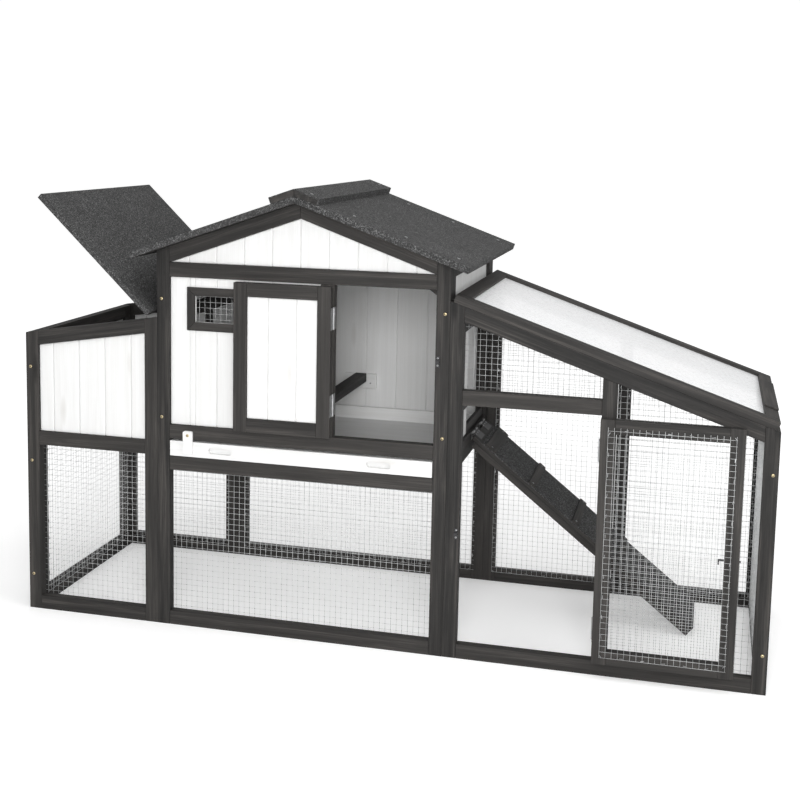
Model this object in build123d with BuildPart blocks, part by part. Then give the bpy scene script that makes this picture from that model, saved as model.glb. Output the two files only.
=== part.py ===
"""Chicken coop: nest box, raised house and run, as separate timber, mesh, felt and metal pieces.

X runs along the coop, the front faces -Y, and Z is up. The origin is on the ground, under the
middle of the coop. Every size is in millimetres.
"""

import os
from math import asin, atan2, ceil, cos, hypot, radians, sin, tan

from build123d import *

# footprint
length = 2100.0
depth = 650.0
nest_bay = 409.0
house_bay = 838.0

# timber
post_width = 38.0
rail_height = 40.0
timber = 28.0
glue = 0.2

# heights of the frames
nest_low = 825.0
nest_high = 890.0
nest_rail_bottom = 496.0
tray_rail_bottom = 457.0
house_rail_bottom = 547.0
tie_bottom = 1008.0
run_high = 981.0
run_low = 693.0
head_rail_bottom = 703.0

# house roof
roof_pitch = 19.5
rafter_height = 42.0
roof_board = 15.0
felt = 3.0
eave_reach = 51.0
roof_overhang = 50.0
cap_width = 60.0
cap_overhang = 57.0
ridge_joint = 0.6

# planks
plank_pitch = 81.0
back_plank_pitch = 100.0
plank_groove = 1.2
plank_thickness = 10.0
plank_recess = 9.0

# welded mesh, with every third wire of a 16 mm mesh
wire = 1.2
wire_pitch = 48.0
weld = 0.05
mesh_lap = 9.0

# house front: doorway, door and window
jamb_width = 38.0
doorway_width = 283.0
door_thickness = 22.0
door_stick = 38.0
door_gap = 3.0
door_mesh_lap = 18.0
window_left = 75.0
window_width = 156.0
window_bottom = 883.0
window_height = 74.0
window_frame_width = 24.0
window_frame_proud = 3.0
stop_block_width = 28.0
stop_block_height = 20.0
stop_slack = 0.5

# house right wall
wall_rail_bottom = 485.0
wall_rail_top = 548.0
wall_header_bottom = 863.0
pop_hole_width = 266.0
sill_height = 27.0
batten_bottom = 638.0

# nest box and its lid
hinge_rail_bottom = 870.0
nest_hole_top = 760.0
floor_thickness = 9.0
divider_height = 150.0
divider_thickness = 12.0
lid_length = 454.0
lid_overhang = 25.0
lid_board = 12.0
lid_batten = 30.0
lid_batten_inset = 90.0
lid_seat_gap = 1.5
lid_open = 53.0

# run: middle post and clear roof
mid_post_left = 406.0
run_roof_thickness = 22.0
run_roof_rail = 38.0
clear_sheet = 3.0
groove_depth = 8.0
groove_slack = 0.3
roof_block_length = 360.0
roof_block_thickness = 5.0

# perch
perch_width = 40.0
perch_thickness = 28.0
perch_top = 646.0
perch_jamb_gap = 4.5
cleat_width = 105.0
cleat_height = 48.0
cleat_thickness = 12.0
perch_slack = 0.5

# tray and its turn button
tray_height = 43.0
tray_slack = 1.5
tray_wall = 10.0
tray_floor = 4.0
tray_back_gap = 10.0
runner = 20.0
slot_width = 70.0
slot_height = 17.0
slot_inset = 115.0
button_width = 28.0
button_length = 67.0
button_thickness = 7.0
button_along = 57.0
button_pivot_drop = 12.0
button_pivot_height = 14.0
button_bore = 2.4

# ramp
ramp_width = 227.0
ramp_length = 838.0
ramp_board = 12.0
ramp_side = 18.0
ramp_side_width = 20.0
ramp_axis_drop = 4.0
ramp_start = 10.0
ramp_side_start = 25.0
ramp_felt_start = 40.0
ramp_ground_gap = 2.0
cleat_first = 52.0
cleat_spacing = 165.0
top_cleat_width = 38.0
ramp_cleat_width = 24.0
ramp_cleat = 6.0
ramp_plain_foot = 200.0

# hinges
barrel = 3.5
pin = 1.5
pin_slack = 0.05
leaf = 1.0
leaf_slack = 0.2
leaf_start = 2.2
leaf_width = 20.0
hinge_length = 60.0
knuckle_gap = 0.3
door_hinge_inset = 88.0
lid_hinge_inset = 150.0
ramp_hinge_offset = 60.0
lid_leaf_lift = 2.0
flap_leaf_width = 30.0

# slide bolts
bolt_rod = 2.5
bolt_slack = 0.3
bolt_length = 58.0
bolt_tip = 4.0
bolt_plate = 1.5
bolt_plate_length = 32.0
bolt_plate_height = 26.0
bolt_guide_length = 8.0
bolt_guide_wall = 1.6
bolt_handle = 2.0
bolt_handle_length = 12.0
house_bolt_height = 816.0
run_bolt_height = 350.0
keeper_start = 5.0
keeper_length = 10.0
keeper_foot = 12.0
keeper_metal = 1.2

# screws and nails
screw_head = 5.0
screw_head_height = 2.0
screw_shank = 2.0
screw_length = 45.0
nail_head = 4.5
nail_head_height = 1.0
nail_shank = 1.2
nail_length = 24.0

# places worked out from the sizes above
left = -length / 2
right = length / 2
front = -depth / 2
back = depth / 2
nest_end = left + nest_bay
house_end = nest_end + house_bay
ridge = (nest_end + house_end) / 2
house_left = nest_end + post_width
house_right = house_end - post_width
front_inner = front + timber
back_inner = back - timber
pitch_rise = tan(radians(roof_pitch))
pitch_cos = cos(radians(roof_pitch))
pitch_sin = sin(radians(roof_pitch))
tie_top = tie_bottom + rail_height
house_rail_top = house_rail_bottom + rail_height
nest_slope = atan2(nest_high - nest_low, nest_bay)
run_slope = atan2(run_high - run_low, right - house_end)
mid_post = house_end + mid_post_left
pop_hole_back = back_inner - post_width
pop_hole_front = pop_hole_back - pop_hole_width
pop_hole_middle = (pop_hole_front + pop_hole_back) / 2


def rafter_under(x):
    """Height of the rafters' lower edge."""
    return tie_top + pitch_rise * (ridge - house_left - abs(x - ridge))


def roof_under(x):
    """Height of the roof boards' lower face."""
    return rafter_under(x) + rafter_height / pitch_cos


def nest_top(x):
    """Height of the nest box's sloped top."""
    return nest_low + (x - left) * tan(nest_slope)


def run_top(x):
    """Height of the run frames' sloped top."""
    return run_high - (x - house_end) * tan(run_slope)


def stick(x, y, z):
    """Add one square-cut stick that fills three ranges."""
    with Locations((x[0], y[0], z[0])):
        Box(x[1] - x[0], y[1] - y[0], z[1] - z[0], align=(Align.MIN, Align.MIN, Align.MIN))


def face_board(corners, y, thickness):
    """Add a board with an outline of (x, z) corners, from y towards the back."""
    with BuildSketch(Plane.XZ.offset(-y - thickness)) as outline:
        with BuildLine():
            Polyline(*corners, close=True)
        make_face()
    extrude(outline.sketch, amount=thickness)


def slab(plane, x, y, z):
    """Add a flat piece that fills three ranges of a plane's own axes."""
    with BuildSketch(plane.offset(z[0])) as outline:
        with Locations(((x[0] + x[1]) / 2, (y[0] + y[1]) / 2)):
            Rectangle(x[1] - x[0], y[1] - y[0])
    extrude(outline.sketch, amount=z[1] - z[0])


def stepped(span, first, pitch):
    """Places where boards start across a span: the first board's width, then a steady pitch."""
    count = ceil((span[1] - span[0] - first) / pitch)
    joints = [span[0] + first + number * pitch for number in range(count)]
    return [span[0], *joints, span[1] + plank_groove]


def centred(span):
    """Places where boards start across a span, with two equal narrower boards at its ends."""
    wide = span[1] - span[0]
    whole = max(int(wide / plank_pitch) - 1, 0)
    return stepped(span, (wide - whole * plank_pitch) / 2, plank_pitch)


def boards(plane, outline, starts, thickness):
    """Fill an outline with upright boards that start at the given places."""
    across = [corner[0] for corner in outline]
    heights = [corner[1] for corner in outline]
    middle = (min(heights) + max(heights)) / 2
    tall = max(heights) - min(heights)
    for near, far in zip(starts, starts[1:]):
        start = max(near, min(across))
        end = min(far - plank_groove, max(across))
        if start < end:
            with BuildSketch(plane) as strip:
                with BuildLine():
                    Polyline(*outline, close=True)
                make_face()
                with Locations(((start + end) / 2, middle)):
                    Rectangle(end - start, tall, mode=Mode.INTERSECT)
            extrude(strip.sketch, amount=thickness)


def box_outline(x, z):
    """Four corners of an upright rectangle."""
    return [(x[0], z[0]), (x[1], z[0]), (x[1], z[1]), (x[0], z[1])]


def wires(plane, outline):
    """Fill an outline with upright wires and, on their far side, level wires."""
    across = [corner[0] for corner in outline]
    heights = [corner[1] for corner in outline]
    wide = max(across) - min(across)
    tall = max(heights) - min(heights)
    centre = ((max(across) + min(across)) / 2, (max(heights) + min(heights)) / 2)
    columns = int((wide - wire) / wire_pitch) + 1
    rows = int((tall - wire) / wire_pitch) + 1
    with BuildSketch(plane) as upright:
        with BuildLine():
            Polyline(*outline, close=True)
        make_face()
        with Locations(centre):
            with GridLocations(wire_pitch, tall, columns, 1):
                Rectangle(wire, tall, mode=Mode.INTERSECT)
    extrude(upright.sketch, amount=wire)
    with BuildSketch(plane.offset(wire + weld)) as level:
        with BuildLine():
            Polyline(*outline, close=True)
        make_face()
        with Locations(centre):
            with GridLocations(wide, wire_pitch, 1, rows):
                Rectangle(wide, wire, mode=Mode.INTERSECT)
    extrude(level.sketch, amount=wire)


def write(builder, name):
    """Label one finished piece and write its STEP file."""
    builder.part.label = name
    export_step(builder.part, f"parts/{name}.step")


os.makedirs("parts", exist_ok=True)


# ---- front and back frames ----

nest_inner = (left + post_width + glue, nest_end - post_width - glue)
house_inner = (house_left + glue, house_right - glue)
run_inner = (house_end + post_width + glue, right - post_width - glue)


def nest_face(y):
    """Sticks of the nest box's front or back frame."""
    deep = (y, y + timber)
    for start in (left, nest_end - post_width):
        end = start + post_width
        face_board([(start, 0), (end, 0), (end, nest_top(end)), (start, nest_top(start))], y, timber)
    stick(nest_inner, deep, (0, rail_height))
    stick(nest_inner, deep, (nest_rail_bottom, nest_rail_bottom + rail_height))
    low, high = nest_inner
    drop = rail_height / cos(nest_slope)
    low_edge = [(low, nest_top(low) - drop), (high, nest_top(high) - drop)]
    high_edge = [(high, nest_top(high)), (low, nest_top(low))]
    face_board(low_edge + high_edge, y, timber)


def house_face(y, rails):
    """Sticks of the house's front or back frame, up to the roof; rails holds their lower edges."""
    deep = (y, y + timber)
    for start in (nest_end, house_right):
        end = start + post_width
        face_board([(start, 0), (end, 0), (end, roof_under(end)), (start, roof_under(start))], y, timber)
    for bottom in rails:
        stick(house_inner, deep, (bottom, bottom + rail_height))
    for foot, top in ((house_inner[0], ridge - glue), (house_inner[1], ridge + glue)):
        low_edge = [(foot, rafter_under(foot) + glue), (top, rafter_under(top) + glue)]
        high_edge = [(top, roof_under(top)), (foot, roof_under(foot))]
        face_board(low_edge + high_edge, y, timber)


def run_face_sticks(y):
    """Sticks of the run's front or back frame."""
    deep = (y, y + timber)
    for start in (house_end, right - post_width):
        end = start + post_width
        face_board([(start, 0), (end, 0), (end, run_top(end)), (start, run_top(start))], y, timber)
    stick(run_inner, deep, (0, rail_height))
    low, high = run_inner
    drop = rail_height / cos(run_slope)
    low_edge = [(low, run_top(low) - drop), (high, run_top(high) - drop)]
    high_edge = [(high, run_top(high)), (low, run_top(low))]
    face_board(low_edge + high_edge, y, timber)
    near, far = mid_post, mid_post + post_width
    foot = [(near, rail_height + glue), (far, rail_height + glue)]
    top = [(far, run_top(far) - drop - glue), (near, run_top(near) - drop - glue)]
    face_board(foot + top, y, timber)


with BuildPart() as front_nest_frame:
    nest_face(front)
write(front_nest_frame, "front_nest_frame")

with BuildPart() as back_nest_frame:
    nest_face(back_inner)
write(back_nest_frame, "back_nest_frame")

jamb_right = house_right - doorway_width
jamb_left = jamb_right - jamb_width
doorway_bottom = house_rail_top

with BuildPart() as front_house_frame:
    house_face(front, (0, tray_rail_bottom, house_rail_bottom, tie_bottom))
    stick((jamb_left, jamb_right), (front, front_inner), (doorway_bottom + glue, tie_bottom - glue))
    stop_corner = (house_right - glue, tie_bottom - glue)
    stop_low = (stop_corner[0], stop_corner[1] - stop_block_height)
    stop_left = (stop_corner[0] - stop_block_width, stop_corner[1])
    stop_front = front + door_thickness + stop_slack
    face_board([stop_low, stop_corner, stop_left], stop_front, front_inner - stop_front)
write(front_house_frame, "front_house_frame")

with BuildPart() as back_house_frame:
    house_face(back_inner, (0, tray_rail_bottom, tie_bottom))
write(back_house_frame, "back_house_frame")

with BuildPart() as front_run_frame:
    run_face_sticks(front)
    head_rail = (head_rail_bottom, head_rail_bottom + rail_height)
    stick((run_inner[0], mid_post - glue), (front, front_inner), head_rail)
write(front_run_frame, "front_run_frame")

with BuildPart() as back_run_frame:
    run_face_sticks(back_inner)
write(back_run_frame, "back_run_frame")


# ---- frames that stand between the front and the back ----

side_stiles = ((front_inner, front_inner + post_width), (back_inner - post_width, back_inner))
side_inner = (side_stiles[0][1] + glue, side_stiles[1][0] - glue)
wall_top = roof_under(nest_end)
left_end = (left, left + timber)
partition = (nest_end, nest_end + timber)
right_wall = (house_end - timber, house_end)
right_end = (right - timber, right)


def side_frame(x, bottom, top, rails):
    """Two upright stiles with rails between them; each rail is a (bottom, top) pair."""
    for deep in side_stiles:
        stick(x, deep, (bottom, top))
    for rail in rails:
        stick(x, side_inner, rail)


nest_rail_top = nest_rail_bottom + rail_height
hinge_rail_top = hinge_rail_bottom + rail_height
wall_header_top = wall_header_bottom + rail_height

with BuildPart() as left_end_frame:
    rails = [
        (0, rail_height),
        (nest_rail_bottom, nest_rail_top),
        (nest_low - rail_height, nest_low),
    ]
    side_frame(left_end, 0, nest_low, rails)
write(left_end_frame, "left_end_frame")

with BuildPart() as nest_partition_frame:
    rails = [
        (nest_rail_bottom, nest_rail_top),
        (hinge_rail_bottom, hinge_rail_top),
        (wall_top - rail_height, wall_top),
    ]
    side_frame(partition, nest_rail_bottom, wall_top, rails)
    stick(partition, (-post_width / 2, post_width / 2), (nest_rail_top + glue, hinge_rail_bottom - glue))
write(nest_partition_frame, "nest_partition_frame")

with BuildPart() as house_right_frame:
    rails = [
        (wall_rail_bottom, wall_rail_top),
        (wall_header_bottom, wall_header_top),
        (wall_top - rail_height, wall_top),
    ]
    side_frame(right_wall, wall_rail_bottom, wall_top, rails)
write(house_right_frame, "house_right_frame")

with BuildPart() as right_end_frame:
    rails = [(0, rail_height), (run_low - rail_height, run_low)]
    side_frame(right_end, 0, run_low, rails)
write(right_end_frame, "right_end_frame")


# ---- white planks ----

front_planks = Plane.XZ.offset(-front - plank_recess - plank_thickness)
back_planks = Plane.XZ.offset(-back + plank_recess)


def side_planks(outer_x):
    """Plane of a side wall's planks, whose outer face lies at outer_x on the left or right."""
    return Plane.YZ.offset(outer_x)


nest_plank_bottom = nest_rail_top + glue
nest_drop = rail_height / cos(nest_slope) + glue
nest_outline = [
    (nest_inner[0], nest_plank_bottom),
    (nest_inner[1], nest_plank_bottom),
    (nest_inner[1], nest_top(nest_inner[1]) - nest_drop),
    (nest_inner[0], nest_top(nest_inner[0]) - nest_drop),
]
gable_outline = [
    (house_inner[0] + glue, tie_top + glue),
    (house_inner[1] - glue, tie_top + glue),
    (ridge, rafter_under(ridge)),
]
house_plank_heights = (house_rail_top + glue, tie_bottom - glue)
window_x = (house_left + window_left, house_left + window_left + window_width)
window_z = (window_bottom, window_bottom + window_height)

with BuildPart() as front_nest_planks:
    boards(front_planks, nest_outline, centred(nest_inner), plank_thickness)
write(front_nest_planks, "front_nest_planks")

with BuildPart() as back_nest_planks:
    boards(back_planks, nest_outline, centred(nest_inner), plank_thickness)
write(back_nest_planks, "back_nest_planks")

with BuildPart() as front_house_planks:
    wall = (house_inner[0], jamb_left - glue)
    low, high = house_plank_heights
    around_window = [
        ((wall[0], window_x[0] - glue), house_plank_heights),
        (window_x, (low, window_z[0])),
        (window_x, (window_z[1], high)),
        ((window_x[1] + glue, wall[1]), house_plank_heights),
    ]
    for across, upright in around_window:
        boards(front_planks, box_outline(across, upright), centred(wall), plank_thickness)
    boards(front_planks, gable_outline, centred(house_inner), plank_thickness)
write(front_house_planks, "front_house_planks")

with BuildPart() as back_house_planks:
    upright = (tray_rail_bottom + rail_height + glue, tie_bottom - glue)
    starts = stepped(house_inner, back_plank_pitch, back_plank_pitch)
    boards(back_planks, box_outline(house_inner, upright), starts, plank_thickness)
    boards(back_planks, gable_outline, starts, plank_thickness)
write(back_house_planks, "back_house_planks")

with BuildPart() as left_end_planks:
    outline = box_outline(side_inner, (nest_plank_bottom, nest_low - rail_height - glue))
    boards(side_planks(left + plank_recess), outline, centred(side_inner), plank_thickness)
write(left_end_planks, "left_end_planks")

with BuildPart() as nest_partition_planks:
    plane = side_planks(nest_end + plank_recess)
    for span in ((side_inner[0], -post_width / 2 - glue), (post_width / 2 + glue, side_inner[1])):
        outline = box_outline(span, (nest_hole_top, hinge_rail_bottom - glue))
        boards(plane, outline, centred(span), plank_thickness)
    outline = box_outline(side_inner, (hinge_rail_top + glue, wall_top - rail_height - glue))
    boards(plane, outline, centred(side_inner), plank_thickness)
write(nest_partition_planks, "nest_partition_planks")

with BuildPart() as house_right_planks:
    plane = side_planks(house_end - plank_recess - plank_thickness)
    span = (side_inner[0], pop_hole_front)
    outline = box_outline(span, (wall_rail_top + glue, wall_header_bottom - glue))
    boards(plane, outline, centred(span), plank_thickness)
    outline = box_outline(side_inner, (wall_header_top + glue, wall_top - rail_height - glue))
    boards(plane, outline, centred(side_inner), plank_thickness)
write(house_right_planks, "house_right_planks")

with BuildPart() as house_right_trim:
    face = (house_end - plank_recess + glue, house_end)
    stick(face, (side_inner[0], pop_hole_front), (batten_bottom, batten_bottom + rail_height))
    sill_deep = (house_end - plank_recess - plank_thickness, house_end - plank_recess)
    sill_top = wall_rail_top + glue + sill_height
    stick(sill_deep, (pop_hole_front + glue, side_inner[1]), (wall_rail_top + glue, sill_top))
write(house_right_trim, "house_right_trim")


# ---- nest floor and divider ----

with BuildPart() as nest_floor:
    floor_x = (left + timber + glue, nest_end - glue)
    stick(floor_x, (front_inner + glue, back_inner - glue), (nest_rail_top - floor_thickness, nest_rail_top))
write(nest_floor, "nest_floor")

with BuildPart() as nest_divider:
    deep = (-divider_thickness / 2, divider_thickness / 2)
    stick(floor_x, deep, (nest_rail_top + glue, nest_rail_top + glue + divider_height))
write(nest_divider, "nest_divider")


# ---- window frame, mitred at its corners ----

with BuildPart() as window_frame:
    outer_x = (window_x[0] - window_frame_width, window_x[1] + window_frame_width)
    outer_z = (window_z[0] - window_frame_width, window_z[1] + window_frame_width)
    outer = box_outline(outer_x, outer_z)
    inner = box_outline(window_x, window_z)
    window_deep = plank_recess - window_frame_proud
    for side, (dx, dz) in enumerate(((glue, 0), (0, glue), (-glue, 0), (0, -glue))):
        here, there = outer[side], outer[(side + 1) % len(outer)]
        in_here, in_there = inner[side], inner[(side + 1) % len(inner)]
        corners = [
            (here[0] + dx, here[1] + dz),
            (there[0] - dx, there[1] - dz),
            (in_there[0] - dx, in_there[1] - dz),
            (in_here[0] + dx, in_here[1] + dz),
        ]
        face_board(corners, front + window_frame_proud, window_deep)
write(window_frame, "window_frame")


# ---- welded mesh, stapled to the inner faces of the frames ----


def mesh_plane(y, towards_back):
    """Plane at y whose layers build up towards the back or towards the front."""
    facing = (0, 1, 0) if towards_back else (0, -1, 0)
    sideways = (-1, 0, 0) if towards_back else (1, 0, 0)
    return Plane(origin=(0, y, 0), x_dir=sideways, z_dir=facing)


def mirrored(outline):
    """An outline as it lies in a plane that looks the other way."""
    return [(-x, z) for x, z in reversed(outline)]


def lapped(x, z):
    """Rectangle that laps the sticks around an opening."""
    return box_outline((x[0] - mesh_lap, x[1] + mesh_lap), (z[0] - mesh_lap, z[1] + mesh_lap))


nest_mesh_outline = lapped(nest_inner, (rail_height, nest_rail_bottom))
house_mesh_outline = lapped(house_inner, (rail_height, tray_rail_bottom))
run_drop = rail_height / cos(run_slope) - mesh_lap
head_top = head_rail_bottom + rail_height - mesh_lap


def run_mesh_outline(x, bottom):
    """Outline of run mesh with a sloped top, lapping the sticks around it."""
    low, high = x[0] - mesh_lap, x[1] + mesh_lap
    return [(low, bottom), (high, bottom), (high, run_top(high) - run_drop), (low, run_top(low) - run_drop)]


left_run_opening = (run_inner[0], mid_post - glue)
right_run_opening = (mid_post + post_width + glue, run_inner[1])

with BuildPart() as front_nest_mesh:
    wires(mesh_plane(front_inner, True), mirrored(nest_mesh_outline))
write(front_nest_mesh, "front_nest_mesh")

with BuildPart() as back_nest_mesh:
    wires(mesh_plane(back_inner, False), nest_mesh_outline)
write(back_nest_mesh, "back_nest_mesh")

with BuildPart() as front_house_mesh:
    wires(mesh_plane(front_inner, True), mirrored(house_mesh_outline))
    wires(mesh_plane(front + plank_recess + plank_thickness, True), mirrored(lapped(window_x, window_z)))
write(front_house_mesh, "front_house_mesh")

with BuildPart() as back_house_mesh:
    wires(mesh_plane(back_inner, False), house_mesh_outline)
write(back_house_mesh, "back_house_mesh")

with BuildPart() as front_run_mesh:
    behind = mesh_plane(front_inner, True)
    wires(behind, mirrored(run_mesh_outline(left_run_opening, head_top)))
    wires(behind, mirrored(run_mesh_outline(right_run_opening, rail_height - mesh_lap)))
write(front_run_mesh, "front_run_mesh")

with BuildPart() as back_run_mesh:
    wires(mesh_plane(back_inner, False), run_mesh_outline(left_run_opening, rail_height - mesh_lap))
    wires(mesh_plane(back_inner, False), run_mesh_outline(right_run_opening, rail_height - mesh_lap))
write(back_run_mesh, "back_run_mesh")

with BuildPart() as left_end_mesh:
    wires(Plane.YZ.offset(left_end[1]), lapped(side_inner, (rail_height, nest_rail_bottom)))
write(left_end_mesh, "left_end_mesh")

with BuildPart() as right_end_mesh:
    inward = Plane(origin=(right_end[0], 0, 0), x_dir=(0, -1, 0), z_dir=(-1, 0, 0))
    wires(inward, mirrored(lapped(side_inner, (rail_height, run_low - rail_height))))
write(right_end_mesh, "right_end_mesh")


# ---- house roof: boards and felt, and a ridge cap of boards and felt ----

eave_half = house_bay / 2 + eave_reach
roof_deep = (front - roof_overhang, depth + roof_overhang * 2)
cap_deep = (front - cap_overhang, depth + cap_overhang * 2)


def roof_section(side, from_ridge, to_eave, lift, thickness):
    """Corners of one roof layer: side is -1 or 1, lift is its height off the rafters, square to them."""

    def point(along, up):
        x = ridge + side * (along * pitch_cos + up * pitch_sin)
        z = roof_under(ridge) - along * pitch_sin + up * pitch_cos
        return x, z

    top = lift + thickness
    plumb_low = lift * pitch_rise
    plumb_high = top * pitch_rise
    return [
        point(from_ridge - plumb_low, lift),
        point(to_eave, lift),
        point(to_eave, top),
        point(from_ridge - plumb_high, top),
    ]


eave_along = eave_half / pitch_cos
half_joint = ridge_joint / 2
cap_lift = roof_board + felt

with BuildPart() as roof_boards:
    for side in (-1, 1):
        face_board(roof_section(side, half_joint, eave_along, 0, roof_board), *roof_deep)
        cap = roof_section(side, half_joint, cap_width, cap_lift, roof_board)
        face_board(cap, *cap_deep)
write(roof_boards, "roof_boards")

slope_layer = (half_joint, eave_along, 0)
cap_layer = (half_joint, cap_width, cap_lift)


def felt_deep(deep):
    """Where felt starts and how deep it is, wrapped over both ends of a board."""
    return deep[0] - felt, deep[1] + felt * 2


with BuildPart() as roof_felt:
    for side in (-1, 1):
        near, far, lift = slope_layer
        face_board(roof_section(side, near, far + felt, lift, roof_board + felt), *felt_deep(roof_deep))
    for side in (-1, 1):
        near, far, lift = cap_layer
        face_board(roof_section(side, near, far + felt, lift + glue, roof_board + felt - glue), *cap_deep)
    for (near, far, lift), deep in ((slope_layer, roof_deep), (cap_layer, cap_deep)):
        for side in (-1, 1):
            with BuildSketch(Plane.XZ.offset(-deep[0] - deep[1])) as board_face:
                with BuildLine():
                    Polyline(*roof_section(side, near, far, lift, roof_board), close=True)
                make_face()
            extrude(board_face.sketch, amount=deep[1], mode=Mode.SUBTRACT)
write(roof_felt, "roof_felt")


# ---- clear roof over the run ----

run_plane = Plane(
    origin=(house_end, 0, run_high),
    x_dir=(cos(run_slope), 0, -sin(run_slope)),
    z_dir=(sin(run_slope), 0, cos(run_slope)),
)
run_along = hypot(right - house_end, run_high - run_low)
run_start = run_roof_thickness * tan(run_slope) + glue
block_top = run_roof_thickness + roof_block_thickness
run_end = run_along - block_top * tan(run_slope)
sheet_x = (run_start + run_roof_rail - groove_depth, run_end - run_roof_rail + groove_depth)
sheet_y = (front + run_roof_rail - groove_depth, back - run_roof_rail + groove_depth)
sheet_z = ((run_roof_thickness - clear_sheet) / 2, (run_roof_thickness + clear_sheet) / 2)


def widened(span, by):
    """A range made wider by the same amount at both ends."""
    return span[0] - by, span[1] + by


with BuildPart() as run_roof_frame:
    thick = (0, run_roof_thickness)
    for deep in ((front, front + run_roof_rail), (back - run_roof_rail, back)):
        slab(run_plane, (run_start, run_end), deep, thick)
    between = (front + run_roof_rail + glue, back - run_roof_rail - glue)
    for along in ((run_start, run_start + run_roof_rail), (run_end - run_roof_rail, run_end)):
        slab(run_plane, along, between, thick)
    groove = [widened(span, groove_slack) for span in (sheet_x, sheet_y, sheet_z)]
    with BuildSketch(run_plane.offset(groove[2][0])) as groove_face:
        with Locations((sum(groove[0]) / 2, sum(groove[1]) / 2)):
            Rectangle(groove[0][1] - groove[0][0], groove[1][1] - groove[1][0])
    extrude(groove_face.sketch, amount=groove[2][1] - groove[2][0], mode=Mode.SUBTRACT)
    block_y = (-roof_block_length / 2, roof_block_length / 2)
    slab(run_plane, (run_end - run_roof_rail, run_end), block_y, (run_roof_thickness + glue, block_top))
write(run_roof_frame, "run_roof_frame")

with BuildPart() as run_roof_sheet:
    slab(run_plane, sheet_x, sheet_y, sheet_z)
write(run_roof_sheet, "run_roof_sheet")


# ---- perch on two notched cleats ----

perch_x = jamb_left - perch_jamb_gap - cleat_width / 2
perch_y = (front + plank_recess + plank_thickness + glue, back - plank_recess - plank_thickness - glue)

with BuildPart() as perch:
    across = (perch_x - perch_width / 2, perch_x + perch_width / 2)
    stick(across, perch_y, (perch_top - perch_thickness, perch_top))
    fillet(perch.edges().filter_by(Axis.Y), radius=perch_thickness / 6)
write(perch, "perch")

with BuildPart() as perch_cleats:
    for deep in ((perch_y[0], perch_y[0] + cleat_thickness), (perch_y[1] - cleat_thickness, perch_y[1])):
        across = (perch_x - cleat_width / 2, perch_x + cleat_width / 2)
        stick(across, deep, (perch_top - cleat_height, perch_top))
    with Locations((perch_x, 0, perch_top + perch_slack)):
        Box(
            perch_width + perch_slack * 2,
            depth,
            perch_thickness + perch_slack * 2,
            align=(Align.CENTER, Align.CENTER, Align.MAX),
            mode=Mode.SUBTRACT,
        )
write(perch_cleats, "perch_cleats")


# ---- pull-out tray ----

tray_bottom = tray_rail_bottom + rail_height + tray_slack
tray_x = (house_left + tray_slack, house_right - tray_slack)
tray_y = (front, back_inner - tray_back_gap)
tray_z = (tray_bottom, tray_bottom + tray_height)

with BuildPart() as tray_runners:
    runner_z = (tray_bottom - tray_slack - runner, tray_bottom - tray_slack)
    for start in (house_left, house_right - runner):
        stick((start, start + runner), (front_inner + glue, back_inner - glue), runner_z)
write(tray_runners, "tray_runners")

with BuildPart() as tray_front:
    stick(tray_x, (tray_y[0], tray_y[0] + tray_wall), tray_z)
    with BuildSketch(Plane.XZ.offset(-tray_y[0] - tray_wall)) as slots:
        with Locations(((tray_x[0] + tray_x[1]) / 2, tray_bottom + tray_height / 2)):
            with GridLocations(tray_x[1] - tray_x[0] - slot_inset * 2 - slot_width, tray_height, 2, 1):
                SlotOverall(slot_width, slot_height)
    extrude(slots.sketch, amount=tray_wall, mode=Mode.SUBTRACT)
write(tray_front, "tray_front")

with BuildPart() as tray_box:
    body_y = (tray_y[0] + tray_wall + glue, tray_y[1])
    stick(tray_x, body_y, tray_z)
    inside_x, inside_y = widened(tray_x, -tray_wall), widened(body_y, -tray_wall)
    with Locations((inside_x[0], inside_y[0], tray_bottom + tray_floor)):
        Box(
            inside_x[1] - inside_x[0],
            inside_y[1] - inside_y[0],
            tray_height,
            align=(Align.MIN, Align.MIN, Align.MIN),
            mode=Mode.SUBTRACT,
        )
write(tray_box, "tray_box")

button_x = house_left + button_along
button_z = house_rail_bottom + button_pivot_height
button_y = front - glue

with BuildPart() as turn_button:
    tab_z = (button_z + button_pivot_drop - button_length, button_z + button_pivot_drop)
    tab_y = (button_y - button_thickness, button_y)
    stick((button_x - button_width / 2, button_x + button_width / 2), tab_y, tab_z)
    fillet(turn_button.edges().filter_by(Axis.Y), radius=button_width / 5)
    with BuildSketch(Plane.XZ.offset(-button_y)) as bore:
        with Locations((button_x, button_z)):
            Circle(button_bore)
    extrude(bore.sketch, amount=button_thickness, mode=Mode.SUBTRACT)
write(turn_button, "turn_button")


# ---- hinges ----


def knuckles(plane, spans):
    """Add barrel rings round a plane's z axis, bored for the pin."""
    for span in spans:
        with BuildSketch(plane.offset(span[0])) as ring:
            Circle(barrel)
            Circle(pin + pin_slack, mode=Mode.SUBTRACT)
        extrude(ring.sketch, amount=span[1] - span[0])


half_hinge = hinge_length / 2
third = hinge_length / 6
fixed_spans = ((-half_hinge, -third - knuckle_gap), (third + knuckle_gap, half_hinge))
moving_spans = ((-third, third),)


def hinge_leaf(plane, spans, across, thick):
    """Add one hinge leaf: a plate over the ranges across and thick, on its knuckles."""
    knuckles(plane, spans)
    for span in spans:
        slab(plane, (across[0], across[1]), thick, span)
    slab(plane, (barrel + knuckle_gap, across[1]), thick, (-half_hinge, half_hinge))


def hinge_pin(plane):
    """Add the pin of one hinge."""
    with BuildSketch(plane.offset(-half_hinge)) as section:
        Circle(pin)
    extrude(section.sketch, amount=hinge_length)


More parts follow.
